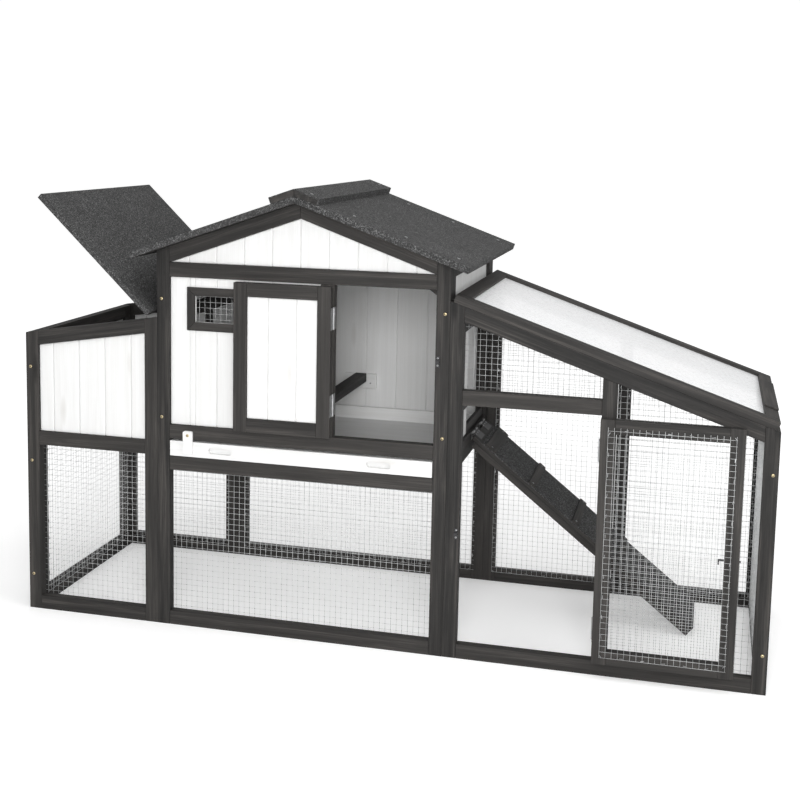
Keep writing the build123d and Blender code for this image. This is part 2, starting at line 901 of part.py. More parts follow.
leaf_near = (leaf_slack, leaf_slack + leaf)
leaf_far = (-leaf_slack - leaf, -leaf_slack)
leaf_reach = leaf_start + leaf_width
hinge_room = leaf_slack + leaf

door_axis_y = front - barrel - leaf_slack * 2
door_front_gap = front - door_axis_y

house_axis_x = jamb_right + hinge_room
house_door_z = (doorway_bottom + door_gap, tie_bottom - door_gap)
house_door_wide = house_right - door_gap - house_axis_x - hinge_room
run_axis_x = mid_post - hinge_room
run_door_z = (rail_height + door_gap, head_rail_bottom - door_gap)
run_door_wide = run_axis_x - hinge_room - (house_end + post_width) - door_gap

house_swing = -180.0
run_swing = 180.0


def swung_plane(axis_x, swing, height):
    """Plane on a door's hinge axis, x towards the door's own right when shut, z out of its face."""
    turn = radians(swing)
    return Plane(
        origin=(axis_x, door_axis_y, height),
        x_dir=(cos(turn), sin(turn), 0),
        z_dir=(sin(turn), -cos(turn), 0),
    )


def leaf_plane(axis_x, swing, height):
    """Plane across a door hinge's axis, x into the wall when the door is shut."""
    turn = radians(swing)
    return Plane(origin=(axis_x, door_axis_y, height), x_dir=(-sin(turn), cos(turn), 0), z_dir=(0, 0, 1))


def hinge_heights(span):
    """Heights of a door's two hinges."""
    return span[0] + door_hinge_inset, span[1] - door_hinge_inset


lid_axis = (nest_end - barrel - leaf_slack, 0, 0)
lid_top_at_axis = nest_top(lid_axis[0]) + (lid_seat_gap + lid_board + felt) / cos(nest_slope)
lid_axis_z = lid_top_at_axis + (leaf + lid_leaf_lift) / cos(nest_slope)
lid_turn = radians(lid_open) - nest_slope
lid_direction = (-cos(lid_turn), 0, sin(lid_turn))
lid_hinge_places = (front + lid_hinge_inset, back - lid_hinge_inset)

ramp_axis_x = house_end + barrel + leaf_slack
ramp_axis_z = wall_rail_top - ramp_axis_drop
ramp_drop = ramp_board + ramp_side
ramp_reach = hypot(ramp_length, ramp_drop)
ramp_turn = asin((ramp_axis_z - ramp_ground_gap) / ramp_reach) - atan2(ramp_drop, ramp_length)
ramp_direction = (cos(ramp_turn), 0, -sin(ramp_turn))
ramp_hinge_places = (pop_hole_middle - ramp_hinge_offset, pop_hole_middle + ramp_hinge_offset)


def cross_plane(x, y, z, direction):
    """Plane across a hinge axis that runs along Y."""
    return Plane(origin=(x, y, z), x_dir=direction, z_dir=(0, 1, 0))


wall_leaf = (barrel + leaf_slack - leaf, barrel + leaf_slack)
lid_wall_leaf = (-wall_leaf[1], -wall_leaf[0])

with BuildPart() as fixed_hinge_leaves:
    for height in hinge_heights(house_door_z):
        hinge_leaf(leaf_plane(house_axis_x, 0, height), fixed_spans, (leaf_start, leaf_reach), leaf_near)
    for height in hinge_heights(run_door_z):
        hinge_leaf(leaf_plane(run_axis_x, 0, height), fixed_spans, (leaf_start, leaf_reach), leaf_far)
    for place in lid_hinge_places:
        plane = cross_plane(lid_axis[0], place, lid_axis_z, (0, 0, -1))
        hinge_leaf(plane, fixed_spans, (0, leaf_reach), lid_wall_leaf)
    for place in ramp_hinge_places:
        plane = cross_plane(ramp_axis_x, place, ramp_axis_z, (0, 0, -1))
        hinge_leaf(plane, fixed_spans, (0, leaf_reach), wall_leaf)
    for height in hinge_heights(house_door_z):
        hinge_pin(leaf_plane(house_axis_x, 0, height))
    for height in hinge_heights(run_door_z):
        hinge_pin(leaf_plane(run_axis_x, 0, height))
    for place in lid_hinge_places:
        hinge_pin(cross_plane(lid_axis[0], place, lid_axis_z, (0, 0, -1)))
    for place in ramp_hinge_places:
        hinge_pin(cross_plane(ramp_axis_x, place, ramp_axis_z, (0, 0, -1)))
write(fixed_hinge_leaves, "fixed_hinge_leaves")


# ---- doors: built on their hinge axes, swung fully open ----

outer_face = -door_front_gap
inner_face = outer_face - door_thickness


def door_frame(plane, wide, tall):
    """Two stiles and two rails; wide is a range across the door, tall is its height."""
    deep = (inner_face, outer_face)
    half = tall / 2
    stiles = ((wide[0], wide[0] + door_stick), (wide[1] - door_stick, wide[1]))
    for stile in stiles:
        slab(plane, stile, (-half, half), deep)
    between = (wide[0] + door_stick + glue, wide[1] - door_stick - glue)
    for rail in ((-half, -half + door_stick), (half - door_stick, half)):
        slab(plane, between, rail, deep)


def bolt_parts(edge, side, rod_axis):
    """Ranges of a bolt's plate and guides, from the door's free edge inwards."""
    plate = sorted((edge, edge - side * bolt_plate_length))
    first = sorted((edge - side * bolt_handle, edge - side * (bolt_handle + bolt_guide_length)))
    second_end = bolt_plate_length - bolt_handle
    second = sorted((edge - side * (second_end - bolt_guide_length), edge - side * second_end))
    top = rod_axis + bolt_rod + bolt_slack + bolt_guide_wall
    return plate, (first, second), top


rod_out = outer_face + bolt_plate + bolt_rod + bolt_slack


def bolt_mount(plane, edge, side, height):
    """Plate and two bored guides of a slide bolt on a door's outer face."""
    plate, guides, top = bolt_parts(edge, side, rod_out)
    half_plate = bolt_plate_height / 2
    slab(plane, plate, (height - half_plate, height + half_plate), (outer_face, outer_face + bolt_plate))
    half_guide = bolt_rod + bolt_slack + bolt_guide_wall
    for guide in guides:
        slab(plane, guide, (height - half_guide, height + half_guide), (outer_face + bolt_plate, top))
    bore = Plane(origin=plane.from_local_coords((0, height, rod_out)), x_dir=plane.y_dir, z_dir=plane.x_dir)
    with BuildSketch(bore.offset(plate[0])) as hole:
        Circle(bolt_rod + bolt_slack)
    extrude(hole.sketch, amount=plate[1] - plate[0], mode=Mode.SUBTRACT)


def bolt(plane, edge, side, height):
    """Rod of a slide bolt, with its handle turned down."""
    tip = edge + side * bolt_tip
    tail = tip - side * bolt_length
    along = Plane(origin=plane.from_local_coords((0, height, rod_out)), x_dir=plane.y_dir, z_dir=plane.x_dir)
    with BuildSketch(along.offset(min(tip, tail))) as rod:
        Circle(bolt_rod)
    extrude(rod.sketch, amount=bolt_length)
    handle_x = tail + side * bolt_rod
    foot = plane.from_local_coords((handle_x, height - bolt_handle_length, rod_out))
    with BuildSketch(Plane(origin=foot, x_dir=plane.x_dir, z_dir=plane.y_dir)) as peg:
        Circle(bolt_handle)
    extrude(peg.sketch, amount=bolt_handle_length)


house_middle = sum(house_door_z) / 2
house_plane = swung_plane(house_axis_x, house_swing, house_middle)
house_wide = (hinge_room, hinge_room + house_door_wide)
house_tall = house_door_z[1] - house_door_z[0]
run_middle = sum(run_door_z) / 2
run_door_plane = swung_plane(run_axis_x, run_swing, run_middle)
run_wide = (-hinge_room - run_door_wide, -hinge_room)
run_tall = run_door_z[1] - run_door_z[0]

with BuildPart() as house_door_frame:
    door_frame(house_plane, house_wide, house_tall)
write(house_door_frame, "house_door_frame")

with BuildPart() as house_door_planks:
    span = (house_wide[0] + door_stick + glue, house_wide[1] - door_stick - glue)
    half_panel = house_tall / 2 - door_stick - glue
    plank_back = (inner_face + outer_face - plank_thickness) / 2
    outline = box_outline(span, (-half_panel, half_panel))
    boards(house_plane.offset(plank_back), outline, centred(span), plank_thickness)
write(house_door_planks, "house_door_planks")

with BuildPart() as run_door_frame:
    door_frame(run_door_plane, run_wide, run_tall)
write(run_door_frame, "run_door_frame")

with BuildPart() as run_door_mesh:
    inset = door_stick - door_mesh_lap
    half_mesh = run_tall / 2 - inset
    outline = box_outline((run_wide[0] + inset, run_wide[1] - inset), (-half_mesh, half_mesh))
    inside = Plane(
        origin=run_door_plane.from_local_coords((0, 0, inner_face)),
        x_dir=-run_door_plane.x_dir,
        z_dir=-run_door_plane.z_dir,
    )
    wires(inside, mirrored(outline))
write(run_door_mesh, "run_door_mesh")

with BuildPart() as house_door_hinges:
    for height in hinge_heights(house_door_z):
        plane = leaf_plane(house_axis_x, house_swing, height)
        hinge_leaf(plane, moving_spans, (leaf_start, leaf_reach), leaf_far)
write(house_door_hinges, "house_door_hinges")

with BuildPart() as run_door_hinges:
    for height in hinge_heights(run_door_z):
        plane = leaf_plane(run_axis_x, run_swing, height)
        hinge_leaf(plane, moving_spans, (leaf_start, leaf_reach), leaf_near)
write(run_door_hinges, "run_door_hinges")

house_bolt_y = house_bolt_height - house_middle
run_bolt_y = run_bolt_height - run_middle

with BuildPart() as house_bolt_plate:
    bolt_mount(house_plane, house_wide[1], 1, house_bolt_y)
write(house_bolt_plate, "house_bolt_plate")

with BuildPart() as run_bolt_plate:
    bolt_mount(run_door_plane, run_wide[0], -1, run_bolt_y)
write(run_bolt_plate, "run_bolt_plate")

with BuildPart() as house_bolt:
    bolt(house_plane, house_wide[1], 1, house_bolt_y)
write(house_bolt, "house_bolt")

with BuildPart() as run_bolt:
    bolt(run_door_plane, run_wide[0], -1, run_bolt_y)
write(run_bolt, "run_bolt")


# ---- keepers that the bolts run into, on the posts beside the doors ----

rod_y = door_axis_y - rod_out
keeper_room = bolt_rod + bolt_slack * 2


def keeper(x, height):
    """Bent strap over the bolt's path, with a foot above and below."""
    strap_y = (rod_y - keeper_room - keeper_metal, rod_y - keeper_room)
    stick(x, strap_y, (height - keeper_room - keeper_metal, height + keeper_room + keeper_metal))
    for side in (-1, 1):
        leg = sorted((height + side * keeper_room, height + side * (keeper_room + keeper_metal)))
        stick(x, (strap_y[0], front), leg)
        foot = sorted((height + side * keeper_room, height + side * (keeper_room + keeper_foot)))
        stick(x, (front - keeper_metal, front), foot)


with BuildPart() as bolt_keepers:
    house_edge = house_axis_x + house_wide[1]
    keeper((house_edge + keeper_start, house_edge + keeper_start + keeper_length), house_bolt_height)
    run_edge = run_axis_x + run_wide[0]
    keeper((run_edge - keeper_start - keeper_length, run_edge - keeper_start), run_bolt_height)
write(bolt_keepers, "bolt_keepers")


# ---- nest lid, propped open ----

lid_plane = Plane(
    origin=(lid_axis[0], 0, lid_axis_z),
    x_dir=lid_direction,
    z_dir=(sin(lid_turn), 0, cos(lid_turn)),
)
felt_top = -leaf - lid_leaf_lift
board_top = felt_top - felt
lid_start = barrel + knuckle_gap * 2
lid_x = (lid_start, lid_start + lid_length)
lid_y = (front - lid_overhang, back + lid_overhang)

with BuildPart() as lid_boards:
    slab(lid_plane, lid_x, lid_y, (board_top - lid_board, board_top))
    batten_x = (timber + post_width, nest_bay - timber - post_width)
    for start in (front + lid_batten_inset, back - lid_batten_inset - lid_batten):
        batten_z = (board_top - lid_board - glue - lid_batten / 2, board_top - lid_board - glue)
        slab(lid_plane, batten_x, (start, start + lid_batten), batten_z)
write(lid_boards, "lid_boards")

with BuildPart() as lid_felt:
    slab(lid_plane, (lid_x[0], lid_x[1] + felt), widened(lid_y, felt), (board_top - lid_board, felt_top))
    with BuildSketch(lid_plane.offset(board_top - lid_board)) as board_room:
        with Locations((sum(lid_x) / 2, 0)):
            Rectangle(lid_length, lid_y[1] - lid_y[0])
    extrude(board_room.sketch, amount=lid_board, mode=Mode.SUBTRACT)
write(lid_felt, "lid_felt")

with BuildPart() as lid_hinges:
    for place in lid_hinge_places:
        plane = cross_plane(lid_axis[0], place, lid_axis_z, lid_direction)
        hinge_leaf(plane, moving_spans, (0, leaf_start + flap_leaf_width), (felt_top, felt_top + leaf))
write(lid_hinges, "lid_hinges")


# ---- ramp from the pop hole to the ground ----

ramp_plane = Plane(
    origin=(ramp_axis_x, pop_hole_middle, ramp_axis_z),
    x_dir=ramp_direction,
    z_dir=(sin(ramp_turn), 0, cos(ramp_turn)),
)
half_ramp = ramp_width / 2

with BuildPart() as ramp_deck:
    slab(ramp_plane, (ramp_start, ramp_length), (-half_ramp, half_ramp), (-ramp_board, 0))
    for side in ((-half_ramp, -half_ramp + ramp_side_width), (half_ramp - ramp_side_width, half_ramp)):
        slab(ramp_plane, (ramp_side_start, ramp_length), side, (-ramp_drop, -ramp_board - glue))
write(ramp_deck, "ramp_deck")

with BuildPart() as ramp_felt:
    slab(ramp_plane, (ramp_felt_start, ramp_length), (-half_ramp, half_ramp), (0, felt))
write(ramp_felt, "ramp_felt")

with BuildPart() as ramp_cleats:
    for number in range(int((ramp_length - ramp_plain_foot - cleat_first) / cleat_spacing) + 1):
        start = cleat_first + number * cleat_spacing
        cleat = ramp_cleat_width if number else top_cleat_width
        slab(ramp_plane, (start, start + cleat), (-half_ramp, half_ramp), (felt, felt + ramp_cleat))
write(ramp_cleats, "ramp_cleats")

with BuildPart() as ramp_hinges:
    for place in ramp_hinge_places:
        plane = cross_plane(ramp_axis_x, place, ramp_axis_z, ramp_direction)
        hinge_leaf(plane, moving_spans, (leaf_start, leaf_start + flap_leaf_width), (-leaf, 0))
write(ramp_hinges, "ramp_hinges")


# ---- screws through the corner posts, and clout nails in the felt ----

left_joint = left + timber / 2
partition_joint = nest_end + timber / 2
wall_joint = house_end - timber / 2
right_joint = right - timber / 2
low_screw = 105.0
nest_screw = 448.0
high_nest_screw = 726.0
floor_screw = 608.0
eave_screw = 945.0
run_screw = 581.0

screw_places = [
    (left_joint, low_screw),
    (left_joint, nest_screw),
    (left_joint, high_nest_screw),
    (partition_joint, floor_screw),
    (partition_joint, eave_screw),
    (wall_joint, floor_screw),
    (wall_joint, eave_screw),
    (right_joint, low_screw),
    (right_joint, run_screw),
]
nail_along = (0.2, 0.55, 0.9)

with BuildPart() as frame_screws:
    for place in screw_places:
        with BuildSketch(Plane.XZ.offset(-front)) as front_head:
            with Locations(place):
                Circle(screw_head)
        extrude(front_head.sketch, amount=screw_head_height)
        with BuildSketch(Plane.XZ.offset(-front)) as front_shank:
            with Locations(place):
                Circle(screw_shank)
        extrude(front_shank.sketch, amount=-screw_length)
        with BuildSketch(Plane.XZ.offset(-back)) as back_head:
            with Locations(place):
                Circle(screw_head)
        extrude(back_head.sketch, amount=-screw_head_height)
        with BuildSketch(Plane.XZ.offset(-back)) as back_shank:
            with Locations(place):
                Circle(screw_shank)
        extrude(back_shank.sketch, amount=screw_length)
    with BuildSketch(Plane.XZ.offset(-button_y + button_thickness + glue)) as button_head:
        with Locations((button_x, button_z)):
            Circle(screw_head)
    extrude(button_head.sketch, amount=screw_head_height)
    with BuildSketch(Plane.XZ.offset(-button_y + button_thickness + glue)) as button_shank:
        with Locations((button_x, button_z)):
            Circle(screw_shank)
    extrude(button_shank.sketch, amount=-button_thickness - glue * 2 - timber / 2)
write(frame_screws, "frame_screws")


def roof_plane(side, lift):
    """Plane on one slope of the roof, x from the ridge to the eave."""
    return Plane(
        origin=(ridge + side * lift * pitch_sin, 0, roof_under(ridge) + lift * pitch_cos),
        x_dir=(side * pitch_cos, 0, -pitch_sin),
        z_dir=(side * pitch_sin, 0, pitch_cos),
    )


def nail(plane, place):
    """One clout nail, its head on a plane and its shank below."""
    with BuildSketch(plane) as head:
        with Locations(place):
            Circle(nail_head)
    extrude(head.sketch, amount=nail_head_height)
    with BuildSketch(plane) as shank:
        with Locations(place):
            Circle(nail_shank)
    extrude(shank.sketch, amount=-nail_length)


with BuildPart() as roof_nails:
    for side in (-1, 1):
        for share in nail_along:
            along = cap_width + felt + (eave_along - cap_width - felt) * share
            for y in (front + timber / 2, back - timber / 2):
                nail(roof_plane(side, roof_board + felt), (along, y))
        for y in (front - roof_overhang / 2, back + roof_overhang / 2):
            nail(roof_plane(side, cap_lift + roof_board + felt), (cap_width / 2, y))
write(roof_nails, "roof_nails")
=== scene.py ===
import math
import random

import bmesh
import bpy
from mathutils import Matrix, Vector


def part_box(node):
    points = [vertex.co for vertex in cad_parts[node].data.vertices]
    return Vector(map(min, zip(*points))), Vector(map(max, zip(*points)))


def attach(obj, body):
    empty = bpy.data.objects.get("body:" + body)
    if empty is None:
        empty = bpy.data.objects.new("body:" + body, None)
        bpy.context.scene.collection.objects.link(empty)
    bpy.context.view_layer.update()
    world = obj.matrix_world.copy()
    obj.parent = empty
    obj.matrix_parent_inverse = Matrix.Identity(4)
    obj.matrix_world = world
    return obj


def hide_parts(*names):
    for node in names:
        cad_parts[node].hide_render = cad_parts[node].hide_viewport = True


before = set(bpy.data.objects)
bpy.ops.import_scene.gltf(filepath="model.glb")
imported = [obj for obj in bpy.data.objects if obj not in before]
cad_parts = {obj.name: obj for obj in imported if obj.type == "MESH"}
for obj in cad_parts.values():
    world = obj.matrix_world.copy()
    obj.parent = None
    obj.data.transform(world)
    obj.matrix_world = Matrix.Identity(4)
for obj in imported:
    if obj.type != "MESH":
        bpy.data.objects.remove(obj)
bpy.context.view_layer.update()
print("frame loaded")

# CAD nodes by finish and by the body they ride on
darkNodes = {
    "coop": [
        "front_nest_frame", "front_house_frame", "front_run_frame",
        "back_nest_frame", "back_house_frame", "back_run_frame",
        "left_end_frame", "nest_partition_frame", "house_right_frame", "right_end_frame",
        "run_roof_frame", "window_frame", "house_right_trim", "tray_runners", "perch", "roof_boards",
    ],
    "house_door": ["house_door_frame"],
    "run_door": ["run_door_frame"],
    "nest_lid": ["lid_boards"],
    "ramp": ["ramp_deck", "ramp_cleats"],
}
whiteNodes = {
    "coop": [
        "front_nest_planks", "front_house_planks", "back_nest_planks", "back_house_planks",
        "left_end_planks", "nest_partition_planks", "house_right_planks",
        "nest_floor", "nest_divider", "perch_cleats",
    ],
    "house_door": ["house_door_planks"],
    "tray": ["tray_front", "tray_box"],
    "turn_button": ["turn_button"],
}
plankWalls = {
    "front_nest_planks", "front_house_planks", "back_nest_planks", "back_house_planks",
    "left_end_planks", "nest_partition_planks", "house_right_planks", "house_door_planks",
}
meshNodes = {
    "coop": [
        "front_nest_mesh", "back_nest_mesh", "front_house_mesh", "back_house_mesh",
        "front_run_mesh", "back_run_mesh", "left_end_mesh", "right_end_mesh",
    ],
    "run_door": ["run_door_mesh"],
}


# small helpers for shader and geometry trees

def addNode(tree, kind, inputs=None, **settings):
    node = tree.nodes.new(kind)
    for name, value in settings.items():
        setattr(node, name, value)
    for key, value in (inputs or {}).items():
        node.inputs[key].default_value = value
    return node


def feed(tree, socket, value):
    if isinstance(value, bpy.types.NodeSocket):
        tree.links.new(value, socket)
    elif isinstance(value, tuple) and len(value) == 3 and socket.type == "RGBA":
        socket.default_value = (*value, 1)
    else:
        socket.default_value = value


def scalar(tree, operation, *values):
    node = addNode(tree, "ShaderNodeMath", operation=operation)
    for socket, value in zip(node.inputs, values):
        feed(tree, socket, value)
    return node.outputs[0]


def colourRamp(tree, factor, stops):
    node = addNode(tree, "ShaderNodeValToRGB")
    while len(node.color_ramp.elements) < len(stops):
        node.color_ramp.elements.new(0.5)
    for element, (place, colour) in zip(node.color_ramp.elements, stops):
        element.position = place
        element.color = (*colour, 1)
    feed(tree, node.inputs["Fac"], factor)
    return node.outputs["Color"]


def mixColour(tree, factor, first, second):
    node = addNode(tree, "ShaderNodeMix", data_type="RGBA")
    feed(tree, node.inputs[0], factor)
    feed(tree, node.inputs[6], first)
    feed(tree, node.inputs[7], second)
    return node.outputs[2]


def stretched(tree, source, scale):
    mapping = addNode(tree, "ShaderNodeMapping", {"Scale": scale})
    feed(tree, mapping.inputs["Vector"], source)
    return mapping.outputs["Vector"]


def noise(tree, vector, scale, detail=4.0, roughness=0.55, distortion=0.0):
    sizes = {"Scale": scale, "Detail": detail, "Roughness": roughness, "Distortion": distortion}
    node = addNode(tree, "ShaderNodeTexNoise", sizes)
    feed(tree, node.inputs["Vector"], vector)
    return node.outputs["Fac"]


def addBump(tree, shader, height, strength, distance):
    bump = addNode(tree, "ShaderNodeBump", {"Strength": strength, "Distance": distance})
    feed(tree, bump.inputs["Height"], height)
    feed(tree, shader.inputs["Normal"], bump.outputs["Normal"])


def newMaterial(name):
    material = bpy.data.materials.new(name)
    material.use_nodes = True
    return material, material.node_tree, material.node_tree.nodes["Principled BSDF"]


def grey(value, warm=0.0):
    return (value * (1 + warm), value, value * (1 - warm))


# timber finishes, which follow each board's own grain attribute

darkStain = {
    "pale": (0.062, 0.057, 0.053),
    "middle": (0.027, 0.0255, 0.0245),
    "deep": (0.013, 0.0125, 0.012),
    "pore": (0.006, 0.006, 0.006),
    "roughness": 0.62,
    "shine": 0.22,
    "bump": 0.5,
}
whitePaint = {
    "clean": (0.74, 0.742, 0.74),
    "worn": (0.62, 0.615, 0.60),
    "knot": (0.44, 0.42, 0.38),
    "roughness": 0.48,
    "shine": 0.4,
    "bump": 0.3,
}


def timberGrain(tree):
    board = addNode(tree, "ShaderNodeAttribute", attribute_name="grain").outputs["Vector"]
    tint = addNode(tree, "ShaderNodeAttribute", attribute_name="boardTint").outputs["Fac"]
    streaks = noise(tree, stretched(tree, board, (2.5, 60, 60)), 1.0, 5.0, 0.6, 0.6)
    fibres = noise(tree, stretched(tree, board, (14, 520, 520)), 1.0, 4.0, 0.65)
    sizes = {"Scale": 9.0, "Distortion": 7.0, "Detail": 3.0, "Detail Scale": 0.8}
    rings = addNode(tree, "ShaderNodeTexWave", sizes, wave_type="BANDS", bands_direction="Y")
    feed(tree, rings.inputs["Vector"], stretched(tree, board, (0.7, 6, 4)))
    knots = addNode(tree, "ShaderNodeTexVoronoi", {"Scale": 1.0, "Randomness": 1.0})
    feed(tree, knots.inputs["Vector"], stretched(tree, board, (3.2, 14, 14)))
    knotStops = [(0.0, grey(1.0)), (0.09, grey(0.6)), (0.16, grey(0.0))]
    return tint, streaks, fibres, rings.outputs["Fac"], colourRamp(tree, knots.outputs["Distance"], knotStops)


def makeDarkTimber(look):
    material, tree, shader = newMaterial("darkStainedTimber")
    tint, streaks, fibres, rings, knots = timberGrain(tree)
    body = colourRamp(tree, streaks, [(0.34, look["deep"]), (0.50, look["middle"]), (0.68, look["pale"])])
    banded = mixColour(tree, scalar(tree, "MULTIPLY", rings, 0.35), body, look["deep"])
    pores = colourRamp(tree, fibres, [(0.28, grey(0.75)), (0.47, grey(0.0))])
    lined = mixColour(tree, pores, banded, look["pore"])
    knotted = mixColour(tree, knots, lined, look["pore"])
    varied = mixColour(tree, scalar(tree, "MULTIPLY", tint, 0.35), knotted, look["pale"])
    feed(tree, shader.inputs["Base Color"], varied)
    rough = scalar(tree, "MULTIPLY_ADD", fibres, 0.25, look["roughness"] - 0.12)
    feed(tree, shader.inputs["Roughness"], rough)
    shader.inputs["Specular IOR Level"].default_value = look["shine"]
    height = scalar(tree, "MULTIPLY_ADD", fibres, 0.7, scalar(tree, "MULTIPLY", streaks, 0.5))
    addBump(tree, shader, height, look["bump"], 0.0008)
    return material


def makeWhiteTimber(look):
    material, tree, shader = newMaterial("whitePaintedTimber")
    tint, streaks, fibres, rings, knots = timberGrain(tree)
    thin = colourRamp(tree, streaks, [(0.40, grey(0.0)), (0.85, grey(0.6))])
    body = mixColour(tree, thin, look["clean"], look["worn"])
    pores = colourRamp(tree, fibres, [(0.25, grey(0.30)), (0.42, grey(0.0))])
    lined = mixColour(tree, pores, body, look["worn"])
    banded = mixColour(tree, scalar(tree, "MULTIPLY", rings, 0.12), lined, look["worn"])
    knotted = mixColour(tree, scalar(tree, "MULTIPLY", knots, 0.4), banded, look["knot"])
    varied = mixColour(tree, scalar(tree, "MULTIPLY", tint, 0.15), knotted, look["worn"])
    feed(tree, shader.inputs["Base Color"], varied)
    rough = scalar(tree, "MULTIPLY_ADD", fibres, 0.15, look["roughness"] - 0.07)
    feed(tree, shader.inputs["Roughness"], rough)
    shader.inputs["Specular IOR Level"].default_value = look["shine"]
    height = scalar(tree, "MULTIPLY_ADD", fibres, 0.5, scalar(tree, "MULTIPLY", rings, 0.25))
    addBump(tree, shader, height, look["bump"], 0.0006)
    return material


# felt, metal, clear sheet and floor

roofFelt = {
    "dark": grey(0.012),
    "middle": grey(0.050),
    "light": grey(0.20),
    "grains": 560.0,
    "roughness": 0.92,
    "bump": 0.8,
}


def makeFelt(look):
    material, tree, shader = newMaterial("mineralRoofFelt")
    place = addNode(tree, "ShaderNodeTexCoord").outputs["Object"]
    grains = addNode(tree, "ShaderNodeTexVoronoi", {"Scale": look["grains"], "Randomness": 1.0})
    feed(tree, grains.inputs["Vector"], place)
    tone = addNode(tree, "ShaderNodeSeparateColor")
    feed(tree, tone.inputs["Color"], grains.outputs["Color"])
    stops = [(0.0, look["dark"]), (0.40, look["middle"]), (0.72, look["middle"]), (0.93, look["light"])]
    specks = colourRamp(tree, tone.outputs["Red"], stops)
    patches = colourRamp(tree, noise(tree, place, 9.0, 5.0, 0.6), [(0.35, grey(0.0)), (0.75, grey(0.4))])
    patched = mixColour(tree, patches, specks, grey(0.035))
    clumps = noise(tree, place, 170.0, 3.0, 0.6)
    shade = colourRamp(tree, clumps, [(0.35, grey(0.5)), (0.55, grey(0.0))])
    feed(tree, shader.inputs["Base Color"], mixColour(tree, shade, patched, look["dark"]))
    shader.inputs["Roughness"].default_value = look["roughness"]
    shader.inputs["Specular IOR Level"].default_value = 0.3
    height = scalar(tree, "MULTIPLY_ADD", grains.outputs["Distance"], -0.8, clumps)
    addBump(tree, shader, height, look["bump"], 0.0012)
    return material


metals = {
    "zincPlate": {"base": (0.46, 0.465, 0.47), "roughness": 0.36, "metallic": 1.0, "cloud": 60.0},
    "yellowZinc": {"base": (0.66, 0.55, 0.33), "roughness": 0.36, "metallic": 1.0, "cloud": 60.0},
    "galvanisedWire": {"base": (0.66, 0.67, 0.67), "roughness": 0.45, "metallic": 0.25, "cloud": 35.0},
    "blackCoat": {"base": (0.022, 0.022, 0.024), "roughness": 0.42, "metallic": 0.0, "cloud": 50.0},
    # near-black finish for the screw-head cross: painted shade standing in for the hollow of the cross recess
    "screwRecessPaintedShade": {"base": (0.03, 0.03, 0.03), "roughness": 0.6, "metallic": 0.3, "cloud": 80.0},
}


def makeMetal(name, look):
    material, tree, shader = newMaterial(name)
    place = addNode(tree, "ShaderNodeTexCoord").outputs["Object"]
    dull = tuple(channel * 0.7 for channel in look["base"])
    cloud = noise(tree, place, look["cloud"], 5.0, 0.6)
    feed(tree, shader.inputs["Base Color"], colourRamp(tree, cloud, [(0.32, dull), (0.6, look["base"])]))
    scratches = noise(tree, stretched(tree, place, (900, 60, 900)), 1.0, 3.0, 0.7)
    rough = scalar(tree, "MULTIPLY_ADD", scratches, 0.22, look["roughness"] - 0.1)
    feed(tree, shader.inputs["Roughness"], rough)
    shader.inputs["Metallic"].default_value = look["metallic"]
    addBump(tree, shader, scratches, 0.12, 0.0002)
    return material


def makeClearSheet():
    material, tree, shader = newMaterial("clearRoofSheet")
    place = addNode(tree, "ShaderNodeTexCoord").outputs["Object"]
    haze = noise(tree, place, 7.0, 4.0, 0.6)
    tone = colourRamp(tree, haze, [(0.3, (0.95, 0.96, 0.965)), (0.7, (0.985, 0.985, 0.99))])
    feed(tree, shader.inputs["Base Color"], tone)
    scuffs = noise(tree, stretched(tree, place, (25, 260, 260)), 1.0, 4.0, 0.7)
    feed(tree, shader.inputs["Roughness"], scalar(tree, "MULTIPLY_ADD", scuffs, 0.12, 0.22))
    shader.inputs["Specular IOR Level"].default_value = 0.3
    shader.inputs["Alpha"].default_value = 0.74
    addBump(tree, shader, haze, 0.05, 0.002)
    return material


studio = {
    "floorSize": 60.0,
    # camera-only floor glow: lowered near the coop as painted shade under and around it, full further out for
    # an even white backdrop
    "floorGlow": (0.24, 0.52),
    "paintedShadeReach": (1.1, 2.6),
    "sky": 0.55,
    "lights": [
        {"name": "frontSoftbox", "place": (0.95, -4.1, 1.75), "size": 1.6, "watts": 108.0},
        {"name": "topSoftbox", "place": (0.6, -0.6, 4.2), "size": 4.0, "watts": 60.0},
        {"name": "rightSoftbox", "place": (4.2, -2.0, 2.6), "size": 2.5, "watts": 60.0},
        {"name": "leftSoftbox", "place": (-3.8, -3.4, 2.4), "size": 2.5, "watts": 20.0},
    ],
    "aim": (0.0, 0.0, 0.55),
}


def makeFloor():
    material, tree, shader = newMaterial("paleFloor")
    place = addNode(tree, "ShaderNodeTexCoord").outputs["Object"]
    tone = colourRamp(tree, noise(tree, place, 1.2, 3.0), [(0.2, grey(0.88)), (0.8, grey(0.90))])
    feed(tree, shader.inputs["Base Color"], tone)
    shader.inputs["Roughness"].default_value = 0.85
    shader.inputs["Specular IOR Level"].default_value = 0.1
    shader.inputs["Emission Color"].default_value = (1, 1, 1, 1)
    # the floor glows only for the camera; the glow drops towards the coop as painted shade and stays even
    # further out
    seen = addNode(tree, "ShaderNodeLightPath").outputs["Is Camera Ray"]
    away = addNode(tree, "ShaderNodeVectorMath", operation="LENGTH")
    feed(tree, away.inputs[0], place)
    near, far = studio["paintedShadeReach"]
    low, high = studio["floorGlow"]
    limits = {"From Min": near, "From Max": far, "To Min": low, "To Max": high}
    glow = addNode(tree, "ShaderNodeMapRange", limits)
    feed(tree, glow.inputs["Value"], away.outputs["Value"])
    feed(tree, shader.inputs["Emission Strength"], scalar(tree, "MULTIPLY", seen, glow.outputs["Result"]))
    return material


